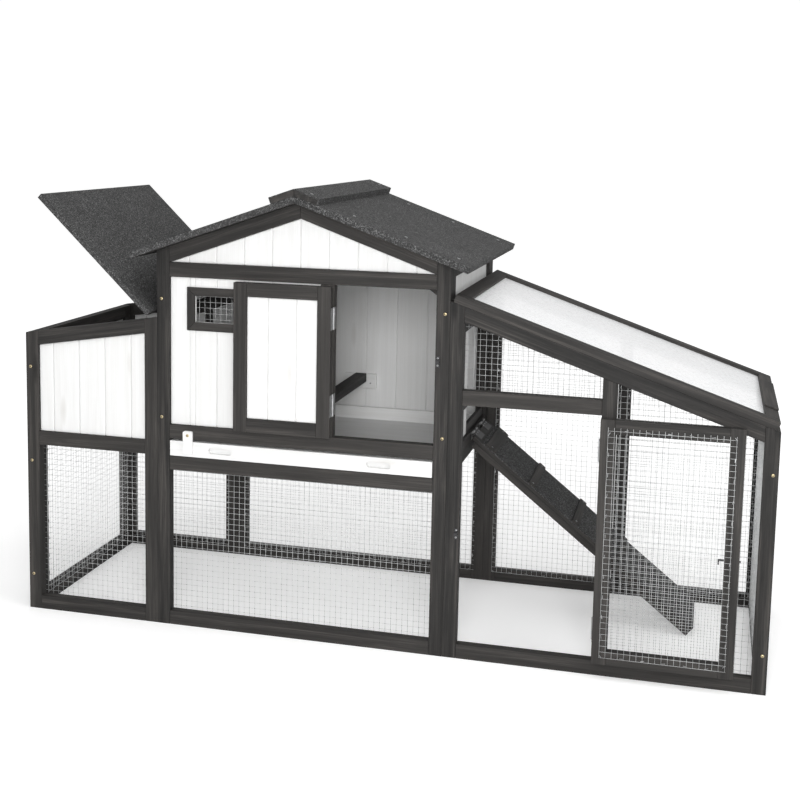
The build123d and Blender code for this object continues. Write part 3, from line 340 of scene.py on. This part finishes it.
darkTimber = makeDarkTimber(darkStain)
whiteTimber = makeWhiteTimber(whitePaint)
feltSheet = makeFelt(roofFelt)
zincPlate = makeMetal("zincPlate", metals["zincPlate"])
yellowZinc = makeMetal("yellowZinc", metals["yellowZinc"])
wireMetal = makeMetal("galvanisedWire", metals["galvanisedWire"])
blackCoat = makeMetal("blackCoat", metals["blackCoat"])
# the dark cross material on the screw heads is painted shade of the recess
recessPaintedShade = makeMetal("screwRecessPaintedShade", metals["screwRecessPaintedShade"])
clearSheet = makeClearSheet()
floorPaint = makeFloor()
print("materials ready")


# reading the frame: the separate solids inside one CAD node

def looseParts(mesh):
    parts = []
    seen = set()
    for first in mesh.verts:
        if first in seen:
            continue
        seen.add(first)
        part = []
        queue = [first]
        while queue:
            vert = queue.pop()
            part.append(vert)
            for edge in vert.link_edges:
                other = edge.other_vert(vert)
                if other not in seen:
                    seen.add(other)
                    queue.append(other)
        parts.append(part)
    return parts


def nodeCopy(nodeName):
    mesh = bmesh.new()
    mesh.from_mesh(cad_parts[nodeName].data)
    bmesh.ops.remove_doubles(mesh, verts=mesh.verts, dist=0.00001)
    return mesh


def corners(part):
    spans = [[vert.co[axis] for vert in part] for axis in range(3)]
    return Vector([min(span) for span in spans]), Vector([max(span) for span in spans])


def partCorners(nodeName):
    mesh = nodeCopy(nodeName)
    found = [corners(part) for part in looseParts(mesh)]
    mesh.free()
    return found


def endCentre(part, facing):
    top = max(vert.co.dot(facing) for vert in part)
    rim = [vert.co for vert in part if vert.co.dot(facing) > top - 0.0003]
    return sum(rim, Vector()) / len(rim)


def pieceFrom(name, mesh, body, nodes):
    piece = bpy.data.objects.new(name, mesh)
    bpy.context.scene.collection.objects.link(piece)
    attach(piece, body)
    if nodes:
        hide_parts(*nodes)
    return piece


def camelName(nodeName):
    first, *rest = nodeName.split("_")
    return first + "".join(word.capitalize() for word in rest)


# timber: edges eased, boards tongued together, grain run along each stick

timberWork = {"ease": 0.0012, "groove": 0.0026, "tongue": 0.003, "widestGap": 0.004, "seed": 11}


def easeEdges(mesh, width):
    sharp = [edge for edge in mesh.edges if edge.is_manifold and edge.calc_face_angle() > 0.6]
    bmesh.ops.bevel(
        mesh, geom=sharp, offset=width, offset_type="OFFSET", segments=2,
        profile=0.5, affect="EDGES", clamp_overlap=True,
    )


def addTongues(mesh, spans):
    low, high = corners(mesh.verts)
    across = 0 if high.x - low.x > high.y - low.y else 1
    thick = 1 - across
    ordered = sorted(spans, key=lambda span: (round(span[0].z, 2), span[0][across]))
    for (lowA, highA), (lowB, highB) in zip(ordered, ordered[1:]):
        gap = lowB[across] - highA[across]
        if not 0 < gap < timberWork["widestGap"]:
            continue
        foot = max(lowA.z, lowB.z) + 0.001
        head = min(highA.z, highB.z) - 0.001
        if head - foot < 0.004:
            continue
        size = Vector((0, 0, head - foot))
        size[across] = gap + timberWork["groove"] * 2
        size[thick] = timberWork["tongue"]
        middle = (lowA + highA) / 2
        middle.z = (foot + head) / 2
        middle[across] = highA[across] + gap / 2
        made = bmesh.ops.create_cube(mesh, size=1.0)["verts"]
        bmesh.ops.scale(mesh, vec=size, verts=made)
        bmesh.ops.translate(mesh, vec=middle, verts=made)


def longWay(part, upright):
    if upright:
        return Vector((0, 0, 1))
    edges = {edge for vert in part for edge in vert.link_edges}
    longest = max(edges, key=lambda edge: edge.calc_length())
    return (longest.verts[1].co - longest.verts[0].co).normalized()


def runGrain(mesh, upright, dice):
    grain = mesh.verts.layers.float_vector.new("grain")
    tint = mesh.verts.layers.float.new("boardTint")
    for part in looseParts(mesh):
        along = longWay(part, upright)
        side = Vector((0, 1, 0)) if abs(along.y) < 0.7 else Vector((1, 0, 0))
        across = along.cross(side).normalized()
        start = Vector([dice.uniform(0, 40) for _ in range(3)])
        shade = dice.uniform(0, 1)
        for vert in part:
            vert[grain] = Vector((vert.co.dot(along), vert.co.dot(across), vert.co.dot(side))) + start
            vert[tint] = shade


def dressTimber(nodeName, body, material):
    isWall = nodeName in plankWalls
    work = nodeCopy(nodeName)
    bmesh.ops.dissolve_limit(work, angle_limit=0.02, verts=work.verts, edges=work.edges)
    spans = [corners(part) for part in looseParts(work)]
    easeEdges(work, timberWork["groove"] if isWall else timberWork["ease"])
    if isWall:
        addTongues(work, spans)
    runGrain(work, isWall, random.Random(timberWork["seed"] + len(nodeName) * 7 + sum(map(ord, nodeName))))
    bmesh.ops.triangulate(work, faces=work.faces)
    mesh = bpy.data.meshes.new(camelName(nodeName))
    work.to_mesh(mesh)
    work.free()
    mesh.materials.append(material)
    return pieceFrom(camelName(nodeName), mesh, body, [nodeName])


for body, nodes in darkNodes.items():
    for nodeName in nodes:
        dressTimber(nodeName, body, darkTimber)
print("dark timber dressed")

for body, nodes in whiteNodes.items():
    for nodeName in nodes:
        dressTimber(nodeName, body, whiteTimber)
print("white boards dressed")


# geometry trees

def newTree(name, sockets):
    tree = bpy.data.node_groups.new(name, "GeometryNodeTree")
    face = tree.interface
    face.new_socket("Geometry", in_out="INPUT", socket_type="NodeSocketGeometry")
    for label, (kind, value) in sockets.items():
        socket = face.new_socket(label, in_out="INPUT", socket_type="NodeSocket" + kind)
        if value is not None:
            socket.default_value = value
    face.new_socket("Geometry", in_out="OUTPUT", socket_type="NodeSocketGeometry")
    return tree, addNode(tree, "NodeGroupInput").outputs, addNode(tree, "NodeGroupOutput").inputs


def closeTree(tree, shape, material, output, smooth):
    whole = addNode(tree, "GeometryNodeRealizeInstances")
    shade = addNode(tree, "GeometryNodeSetShadeSmooth", {"Shade Smooth": smooth})
    paint = addNode(tree, "GeometryNodeSetMaterial")
    feed(tree, whole.inputs["Geometry"], shape)
    feed(tree, shade.inputs["Geometry"], whole.outputs["Geometry"])
    feed(tree, paint.inputs["Geometry"], shade.outputs["Geometry"])
    feed(tree, paint.inputs["Material"], material)
    feed(tree, output, paint.outputs["Geometry"])


def vector(tree, x, y, z):
    node = addNode(tree, "ShaderNodeCombineXYZ")
    for socket, value in zip(node.inputs, (x, y, z)):
        feed(tree, socket, value)
    return node.outputs["Vector"]


def growMesh(tree, seedMesh, values):
    holder = bpy.data.objects.new("seed", seedMesh)
    bpy.context.scene.collection.objects.link(holder)
    modifier = holder.modifiers.new("grow", "NODES")
    modifier.node_group = tree
    for item in tree.interface.items_tree:
        if item.item_type == "SOCKET" and item.in_out == "INPUT" and item.name in values:
            modifier[item.identifier] = values[item.name]
    grown = holder.evaluated_get(bpy.context.evaluated_depsgraph_get())
    mesh = bpy.data.meshes.new_from_object(grown)
    bpy.data.objects.remove(holder)
    return mesh


def joined(name, meshes):
    work = bmesh.new()
    materials = []
    for mesh in meshes:
        start = len(work.faces)
        work.from_mesh(mesh)
        work.faces.ensure_lookup_table()
        for face in work.faces[start:]:
            material = mesh.materials[face.material_index]
            if material not in materials:
                materials.append(material)
            face.material_index = materials.index(material)
    whole = bpy.data.meshes.new(name)
    work.to_mesh(whole)
    work.free()
    for material in materials:
        whole.materials.append(material)
    return whole


# welded wire mesh

wireMesh = {"pitch": 0.016, "wire": 0.0009, "sides": 6}


def makeWireTree():
    tree, given, output = newTree("weldedWireMesh", {
        "Width": ("Float", 0.4),
        "Left Height": ("Float", 0.5),
        "Right Height": ("Float", 0.5),
        "Pitch": ("Float", wireMesh["pitch"]),
        "Wire": ("Float", wireMesh["wire"]),
        "Layer": ("Float", 1.0),
        "Place": ("Vector", (0.0, 0.0, 0.0)),
        "Turn": ("Float", 0.0),
        "Material": ("Material", None),
    })
    rod = addNode(tree, "GeometryNodeMeshCylinder", {
        "Vertices": wireMesh["sides"], "Radius": 0.5, "Depth": 1.0,
    })
    raised = addNode(tree, "GeometryNodeTransform", {"Translation": (0, 0, 0.5)})
    feed(tree, raised.inputs["Geometry"], rod.outputs["Mesh"])
    spot = addNode(tree, "ShaderNodeSeparateXYZ")
    feed(tree, spot.inputs["Vector"], addNode(tree, "GeometryNodeInputPosition").outputs["Position"])
    half = scalar(tree, "MULTIPLY", given["Wire"], 0.5)
    drop = scalar(tree, "SUBTRACT", given["Left Height"], given["Right Height"])

    def wires(reach, start, step, length, turned):
        count = scalar(tree, "ADD", scalar(tree, "FLOOR", scalar(tree, "DIVIDE", reach, given["Pitch"])), 1.0)
        line = addNode(tree, "GeometryNodeMeshLine", mode="OFFSET")
        feed(tree, line.inputs["Count"], count)
        feed(tree, line.inputs["Start Location"], start)
        feed(tree, line.inputs["Offset"], step)
        placed = addNode(tree, "GeometryNodeInstanceOnPoints", {"Rotation": turned})
        feed(tree, placed.inputs["Points"], line.outputs["Mesh"])
        feed(tree, placed.inputs["Instance"], raised.outputs["Geometry"])
        feed(tree, placed.inputs["Scale"], vector(tree, given["Wire"], given["Wire"], length))
        return placed.outputs["Instances"]

    share = scalar(tree, "DIVIDE", spot.outputs["X"], given["Width"])
    tall = scalar(tree, "SUBTRACT", given["Left Height"], scalar(tree, "MULTIPLY", drop, share))
    near = scalar(tree, "MULTIPLY", given["Layer"], half)
    far = scalar(tree, "MULTIPLY", near, 2.8)
    upright = wires(
        given["Width"], vector(tree, half, near, 0.0),
        vector(tree, given["Pitch"], 0.0, 0.0), tall, (0, 0, 0),
    )
    left = scalar(tree, "SUBTRACT", given["Left Height"], spot.outputs["Z"])
    reach = scalar(
        tree, "MULTIPLY", given["Width"],
        scalar(tree, "DIVIDE", left, scalar(tree, "MAXIMUM", drop, 1e-5)),
    )
    clipped = scalar(tree, "MAXIMUM", scalar(tree, "MINIMUM", reach, given["Width"]), 0.001)
    level = wires(
        given["Left Height"], vector(tree, 0.0, far, half), vector(tree, 0.0, 0.0, given["Pitch"]),
        clipped, (0, math.pi / 2, 0),
    )
    both = addNode(tree, "GeometryNodeJoinGeometry")
    tree.links.new(upright, both.inputs["Geometry"])
    tree.links.new(level, both.inputs["Geometry"])
    moved = addNode(tree, "GeometryNodeTransform")
    feed(tree, moved.inputs["Geometry"], both.outputs["Geometry"])
    feed(tree, moved.inputs["Translation"], given["Place"])
    feed(tree, moved.inputs["Rotation"], vector(tree, 0.0, 0.0, given["Turn"]))
    closeTree(tree, moved.outputs["Geometry"], given["Material"], output["Geometry"], True)
    return tree


def wirePanels(nodeName):
    boxes = partCorners(nodeName)
    low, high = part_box(nodeName)
    across = 0 if high[0] - low[0] > high[1] - low[1] else 1
    through = 1 - across
    level = [b for b in boxes if b[1][across] - b[0][across] > b[1].z - b[0].z and b[1].z - b[0].z < 0.002]
    upright = [b for b in boxes if b[1][across] - b[0][across] < 0.002]
    starts = {}
    for lowPart, highPart in level:
        key = (round(lowPart[across], 3), round(lowPart[through], 3))
        starts.setdefault(key, []).append((lowPart, highPart))
    panels = []
    for rows in starts.values():
        left = min(row[0][across] for row in rows)
        right = max(row[1][across] for row in rows)
        sheet = (rows[0][0][through] + rows[0][1][through]) / 2
        posts = [
            p for p in upright
            if left - 0.001 < p[0][across] < right + 0.001
            and abs((p[0][through] + p[1][through]) / 2 - sheet) < 0.004
        ]
        posts.sort(key=lambda post: post[0][across])
        first, last = posts[0], posts[-1]
        base = min(post[0].z for post in posts)
        face = (first[0][through] + first[1][through]) / 2
        slope = (last[1].z - first[1].z) / (last[0][across] - first[0][across])
        leftHeight = first[1].z - slope * (first[0][across] - left) - base
        panels.append({
            "left": left, "width": right - left, "base": base, "across": across,
            "leftHeight": leftHeight, "rightHeight": leftHeight + slope * (right - left),
            "face": face, "towards": 1.0 if sheet > face else -1.0,
        })
    return panels


wireTree = makeWireTree()


def panelMesh(panel):
    side = panel["towards"] * wireMesh["wire"] / 2
    start = panel["face"] - side
    if panel["across"] == 0:
        place, turn, layer = (panel["left"], start, panel["base"]), 0.0, panel["towards"]
    else:
        place, turn, layer = (start, panel["left"], panel["base"]), math.pi / 2, -panel["towards"]
    return growMesh(wireTree, bpy.data.meshes.new("panelSeed"), {
        "Width": panel["width"], "Left Height": panel["leftHeight"], "Right Height": panel["rightHeight"],
        "Layer": layer, "Place": place, "Turn": turn, "Material": wireMetal,
    })


wirePanelSets = {body: [p for node in nodes for p in wirePanels(node)] for body, nodes in meshNodes.items()}
for body, panels in wirePanelSets.items():
    wholeMesh = joined("wireMesh" + body, [panelMesh(panel) for panel in panels])
    pieceFrom("weldedMesh." + body, wholeMesh, body, meshNodes[body])
print("wire mesh woven")


# staples that hold the wire mesh

stapleWork = {"spacing": 0.055, "length": 0.010, "thickness": 0.0012, "inset": 0.004, "seed": 5}


def makeStapleTree():
    tree, given, output = newTree("meshStaples", {
        "Spacing": ("Float", stapleWork["spacing"]),
        "Length": ("Float", stapleWork["length"]),
        "Thickness": ("Float", stapleWork["thickness"]),
        "Seed": ("Int", stapleWork["seed"]),
        "Material": ("Material", None),
    })
    path = addNode(tree, "GeometryNodeMeshToCurve")
    feed(tree, path.inputs["Mesh"], given["Geometry"])
    spaced = addNode(tree, "GeometryNodeResampleCurve", mode="LENGTH")
    feed(tree, spaced.inputs["Curve"], path.outputs["Curve"])
    feed(tree, spaced.inputs["Length"], given["Spacing"])
    tangent = addNode(tree, "GeometryNodeInputTangent")
    aligned = addNode(tree, "FunctionNodeAlignRotationToVector", axis="X")
    feed(tree, aligned.inputs["Vector"], tangent.outputs["Tangent"])
    wobble = addNode(tree, "FunctionNodeRandomValue", data_type="FLOAT_VECTOR")
    wobble.inputs[0].default_value = (-0.2, -0.2, -0.2)
    wobble.inputs[1].default_value = (0.2, 0.2, 0.2)
    feed(tree, wobble.inputs["Seed"], given["Seed"])
    turned = addNode(tree, "FunctionNodeRotateRotation")
    feed(tree, turned.inputs[0], aligned.outputs["Rotation"])
    feed(tree, turned.inputs[1], wobble.outputs[0])
    bar = addNode(tree, "GeometryNodeMeshCube")
    feed(tree, bar.inputs["Size"], vector(tree, given["Length"], given["Thickness"], given["Thickness"]))
    placed = addNode(tree, "GeometryNodeInstanceOnPoints")
    feed(tree, placed.inputs["Points"], spaced.outputs["Curve"])
    feed(tree, placed.inputs["Instance"], bar.outputs["Mesh"])
    feed(tree, placed.inputs["Rotation"], turned.outputs["Rotation"])
    closeTree(tree, placed.outputs["Instances"], given["Material"], output["Geometry"], False)
    return tree


def panelRim(panel):
    inset = stapleWork["inset"]
    low, high = inset, panel["width"] - inset
    side = panel["face"] + panel["towards"] * wireMesh["wire"] * 2.4
    rim = [
        (low, inset), (high, inset),
        (high, panel["rightHeight"] - inset * 1.4), (low, panel["leftHeight"] - inset * 1.4),
    ]
    if panel["across"] == 0:
        return [(panel["left"] + x, side, panel["base"] + z) for x, z in rim]
    return [(side, panel["left"] + x, panel["base"] + z) for x, z in rim]


stapleTree = makeStapleTree()
for body, panels in wirePanelSets.items():
    points, edges = [], []
    for panel in panels:
        first = len(points)
        points += panelRim(panel)
        edges += [(first + i, first + (i + 1) % 4) for i in range(4)]
    rims = bpy.data.meshes.new("panelRims")
    rims.from_pydata(points, edges, [])
    staples = growMesh(stapleTree, rims, {"Material": zincPlate})
    pieceFrom("meshStaples." + body, staples, body, [])
print("staples set")


# screw heads and clout nails

screwWork = {"radius": 0.0046, "dome": 0.0019, "recess": 0.0052, "slot": 0.0011}
nailWork = {"radius": 0.0046, "height": 0.0011}
smallScrewWork = {"Radius": 0.0028, "Dome": 0.0010, "Recess": 0.0032, "Slot": 0.0006}
flushScrewWork = {"Radius": 0.0030, "Dome": 0.0001, "Recess": 0.0034, "Slot": 0.0003}


def makeScrewTree():
    tree, given, output = newTree("crossHeadScrews", {
        "Radius": ("Float", screwWork["radius"]),
        "Dome": ("Float", screwWork["dome"]),
        "Recess": ("Float", screwWork["recess"]),
        "Slot": ("Float", screwWork["slot"]),
        "Seed": ("Int", 3),
        "Material": ("Material", None),
        "Recess Painted Shade Material": ("Material", None),
    })
    ball = addNode(tree, "GeometryNodeMeshUVSphere", {"Segments": 16, "Rings": 8, "Radius": 1.0})
    dome = addNode(tree, "GeometryNodeTransform")
    feed(tree, dome.inputs["Geometry"], ball.outputs["Mesh"])
    feed(tree, dome.inputs["Scale"], vector(tree, given["Radius"], given["Radius"], given["Dome"]))
    headPaint = addNode(tree, "GeometryNodeSetMaterial")
    feed(tree, headPaint.inputs["Geometry"], dome.outputs["Geometry"])
    feed(tree, headPaint.inputs["Material"], given["Material"])
    parts = addNode(tree, "GeometryNodeJoinGeometry")
    tree.links.new(headPaint.outputs["Geometry"], parts.inputs["Geometry"])
    # two near-black bars laid across the dome top: painted shade for the cross recess, which the head does
    # not have as a hollow
    for quarter in (0.0, math.pi / 2):
        bar = addNode(tree, "GeometryNodeMeshCube")
        feed(tree, bar.inputs["Size"], vector(tree, given["Recess"], given["Slot"], given["Slot"]))
        raised = addNode(tree, "GeometryNodeTransform", {"Rotation": (0, 0, quarter)})
        feed(tree, raised.inputs["Geometry"], bar.outputs["Mesh"])
        lift = scalar(tree, "MULTIPLY_ADD", given["Slot"], -0.35, given["Dome"])
        feed(tree, raised.inputs["Translation"], vector(tree, 0.0, 0.0, lift))
        barPaint = addNode(tree, "GeometryNodeSetMaterial")
        feed(tree, barPaint.inputs["Geometry"], raised.outputs["Geometry"])
        feed(tree, barPaint.inputs["Material"], given["Recess Painted Shade Material"])
        tree.links.new(barPaint.outputs["Geometry"], parts.inputs["Geometry"])
    placed = addNode(tree, "GeometryNodeInstanceOnPoints")
    feed(tree, placed.inputs["Points"], given["Geometry"])
    feed(tree, placed.inputs["Instance"], parts.outputs["Geometry"])
    feed(tree, placed.inputs["Rotation"], facingTurn(tree, given["Seed"]))
    whole = addNode(tree, "GeometryNodeRealizeInstances")
    feed(tree, whole.inputs["Geometry"], placed.outputs["Instances"])
    shade = addNode(tree, "GeometryNodeSetShadeSmooth", {"Shade Smooth": True})
    feed(tree, shade.inputs["Geometry"], whole.outputs["Geometry"])
    feed(tree, output["Geometry"], shade.outputs["Geometry"])
    return tree


def facingTurn(tree, seed):
    facing = addNode(tree, "GeometryNodeInputNamedAttribute", {"Name": "facing"}, data_type="FLOAT_VECTOR")
    aligned = addNode(tree, "FunctionNodeAlignRotationToVector", axis="Z")
    feed(tree, aligned.inputs["Vector"], facing.outputs["Attribute"])
    spin = addNode(tree, "FunctionNodeRandomValue", data_type="FLOAT")
    spin.inputs["Max"].default_value = 6.283
    feed(tree, spin.inputs["Seed"], seed)
    turned = addNode(tree, "FunctionNodeRotateRotation", rotation_space="LOCAL")
    feed(tree, turned.inputs[0], aligned.outputs["Rotation"])
    feed(tree, turned.inputs[1], vector(tree, 0.0, 0.0, spin.outputs[1]))
    return turned.outputs["Rotation"]


def makeNailTree():
    tree, given, output = newTree("cloutNails", {
        "Radius": ("Float", nailWork["radius"]),
        "Height": ("Float", nailWork["height"]),
        "Seed": ("Int", 8),
        "Material": ("Material", None),
    })
    head = addNode(tree, "GeometryNodeMeshCylinder", {"Vertices": 14})
    feed(tree, head.inputs["Radius"], given["Radius"])
    feed(tree, head.inputs["Depth"], given["Height"])
    placed = addNode(tree, "GeometryNodeInstanceOnPoints")
    feed(tree, placed.inputs["Points"], given["Geometry"])
    feed(tree, placed.inputs["Instance"], head.outputs["Mesh"])
    feed(tree, placed.inputs["Rotation"], facingTurn(tree, given["Seed"]))
    closeTree(tree, placed.outputs["Instances"], given["Material"], output["Geometry"], False)
    return tree


def pointMesh(spots):
    mesh = bpy.data.meshes.new("spots")
    mesh.from_pydata([spot for spot, _ in spots], [], [])
    layer = mesh.attributes.new("facing", "FLOAT_VECTOR", "POINT")
    for item, (_, facing) in zip(layer.data, spots):
        item.vector = facing
    return mesh


screwTree = makeScrewTree()
nailTree = makeNailTree()

# frame screws stand on the front and back faces; their shanks are hidden in the timber
screwMesh = nodeCopy("frame_screws")
screwSpots = []
for part in looseParts(screwMesh):
    middle = sum((vert.co for vert in part), Vector()) / len(part)
    facing = Vector((0, -1 if middle.y < 0 else 1, 0))
    screwSpots.append((endCentre(part, facing) - facing * 0.002, facing))
screwMesh.free()
frameScrews = growMesh(screwTree, pointMesh(screwSpots), {
    "Material": yellowZinc, "Recess Painted Shade Material": recessPaintedShade,
})
pieceFrom("frameScrews", frameScrews, "coop", ["frame_screws"])

roofLow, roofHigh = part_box("roof_boards")
ridgeX = (roofLow[0] + roofHigh[0]) / 2
rise = math.radians(19.5)
nailMesh = nodeCopy("roof_nails")
nailSpots = []
for part in looseParts(nailMesh):
    middle = sum((vert.co for vert in part), Vector()) / len(part)
    side = 1 if middle.x > ridgeX else -1
    facing = Vector((side * math.sin(rise), 0, math.cos(rise)))
    nailSpots.append((endCentre(part, facing) - facing * 0.0005, facing))
nailMesh.free()
roofNails = growMesh(nailTree, pointMesh(nailSpots), {"Material": zincPlate})
pieceFrom("roofNails", roofNails, "coop", ["roof_nails"])

# small screws in the hinge leaves, the bolt keepers, the perch cleats and the ramp cleats
smallScrews = {
    "leafSpread": 0.021, "keeperInset": 0.0054, "perchInset": 0.018, "rampInset": 0.014,
    "smallestLeaf": 0.0005,
}


def broadFace(part, facing):
    faces = {face for vert in part for face in vert.link_faces if face.normal.dot(facing) > 0.95}
    return max(faces, key=lambda face: face.calc_area()) if faces else None


def plateParts(nodeName):
    mesh = nodeCopy(nodeName)
    bmesh.ops.dissolve_limit(mesh, angle_limit=0.02, verts=mesh.verts, edges=mesh.edges)
    mesh.normal_update()
    return mesh, looseParts(mesh)


def leafScrewSpots(nodeName, slope):
    mesh, parts = plateParts(nodeName)
    spots = []
    for part in parts:
        low, high = corners(part)
        if slope is None:
            facing = Vector((1 if abs(low.x) < 0.4 else -1, 0, 0))
        else:
            facing = Vector((math.sin(slope), 0, math.cos(slope)))
        face = broadFace(part, facing)
        if face is None or face.calc_area() < smallScrews["smallestLeaf"]:
            continue
        middle = face.calc_center_median()
        along = Vector((0, 0, 1)) if high.z - low.z > high.y - low.y else Vector((0, 1, 0))
        for step in (-1, 0, 1):
            spots.append((middle + along * step * smallScrews["leafSpread"], facing))
    mesh.free()
    return spots


def topScrewSpots(nodeName, slope):
    mesh, parts = plateParts(nodeName)
    facing = Vector((math.sin(slope), 0, math.cos(slope)))
    spots = []
    for part in parts:
        face = broadFace(part, facing)
        reach = [vert.co.y for vert in face.verts]
        for y in (min(reach) + smallScrews["rampInset"], max(reach) - smallScrews["rampInset"]):
            middle = face.calc_center_median()
            spots.append((Vector((middle.x, y, middle.z)), facing))
    mesh.free()
    return spots


def keeperScrewSpots():
    spots = []
    for low, high in partCorners("bolt_keepers"):
        x = (low.x + high.x) / 2
        for z in (low.z + smallScrews["keeperInset"], high.z - smallScrews["keeperInset"]):
            spots.append((Vector((x, high.y - 0.0012, z)), Vector((0, -1, 0))))
    return spots


def cleatScrewSpots():
    spots = []
    for low, high in partCorners("perch_cleats"):
        facing = Vector((0, -1 if low.y > 0 else 1, 0))
        y = low.y if low.y > 0 else high.y
        for x in (low.x + smallScrews["perchInset"], high.x - smallScrews["perchInset"]):
            spots.append((Vector((x, y, low.z + smallScrews["perchInset"])), facing))
    return spots


rampSlope = math.radians(38.22)
lidSlope = math.radians(43.97)
# leaf screws sit flush, so that the leaves can fold together
fixings = [
    ("leafScrews", "coop", flushScrewWork, leafScrewSpots("fixed_hinge_leaves", None)),
    ("leafScrews", "house_door", flushScrewWork, leafScrewSpots("house_door_hinges", None)),
    ("leafScrews", "run_door", flushScrewWork, leafScrewSpots("run_door_hinges", None)),
    ("leafScrews", "nest_lid", smallScrewWork, leafScrewSpots("lid_hinges", lidSlope)),
    ("leafScrews", "ramp", smallScrewWork, leafScrewSpots("ramp_hinges", rampSlope)),
    ("smallScrews", "coop", smallScrewWork, keeperScrewSpots() + cleatScrewSpots()),
    ("smallScrews", "ramp", smallScrewWork, topScrewSpots("ramp_cleats", rampSlope)),
]
for name, body, look, spots in fixings:
    values = {"Material": zincPlate, "Recess Painted Shade Material": recessPaintedShade, **look}
    pieceFrom(name + "." + body, growMesh(screwTree, pointMesh(spots), values), body, [])
print("screws and nails driven")


# CAD pieces that keep their shape

def paint(material, *nodeNames):
    for nodeName in nodeNames:
        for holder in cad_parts[nodeName].material_slots:
            holder.material = material


paint(feltSheet, "roof_felt", "lid_felt", "ramp_felt")
paint(clearSheet, "run_roof_sheet")
paint(
    zincPlate, "fixed_hinge_leaves", "house_door_hinges", "run_door_hinges", "lid_hinges",
)
paint(
    blackCoat, "house_bolt", "run_bolt", "bolt_keepers",
    "house_bolt_plate", "run_bolt_plate", "ramp_hinges",
)


# floor, light and camera

cameraView = {
    "place": (0.8543, -3.5691, 1.4258),
    "turn": (82.7915, -1.1766, 13.9261),
    "lens": 56.97,
    "shiftY": -0.1375,
}


def makeStudio(look):
    half = look["floorSize"] / 2
    mesh = bpy.data.meshes.new("floor")
    mesh.from_pydata(
        [(-half, -half, 0), (half, -half, 0), (half, half, 0), (-half, half, 0)], [], [(0, 1, 2, 3)],
    )
    mesh.materials.append(floorPaint)
    floor = bpy.data.objects.new("floor", mesh)
    bpy.context.scene.collection.objects.link(floor)
    world = bpy.data.worlds.new("studioSky")
    world.use_nodes = True
    sky = world.node_tree.nodes["Background"]
    sky.inputs["Color"].default_value = (1, 1, 1, 1)
    seen = addNode(world.node_tree, "ShaderNodeLightPath").outputs["Is Camera Ray"]
    glow = scalar(world.node_tree, "MULTIPLY_ADD", seen, 1.02 - look["sky"], look["sky"])
    feed(world.node_tree, sky.inputs["Strength"], glow)
    bpy.context.scene.world = world
    for light in look["lights"]:
        data = bpy.data.lights.new(light["name"], "AREA")
        data.shape = "SQUARE"
        data.size = light["size"]
        data.energy = light["watts"]
        lamp = bpy.data.objects.new(light["name"], data)
        lamp.location = light["place"]
        aim = Vector(look["aim"]) - Vector(light["place"])
        lamp.rotation_euler = aim.to_track_quat("-Z", "Y").to_euler()
        bpy.context.scene.collection.objects.link(lamp)


def makeCamera(look):
    data = bpy.data.cameras.new("studioCamera")
    data.lens = look["lens"]
    data.sensor_width = 36.0
    data.shift_y = look["shiftY"]
    camera = bpy.data.objects.new("studioCamera", data)
    camera.location = look["place"]
    camera.rotation_euler = [math.radians(angle) for angle in look["turn"]]
    bpy.context.scene.collection.objects.link(camera)
    bpy.context.scene.camera = camera


makeStudio(studio)
makeCamera(cameraView)
bpy.context.scene.view_settings.view_transform = "Standard"
print("studio ready")
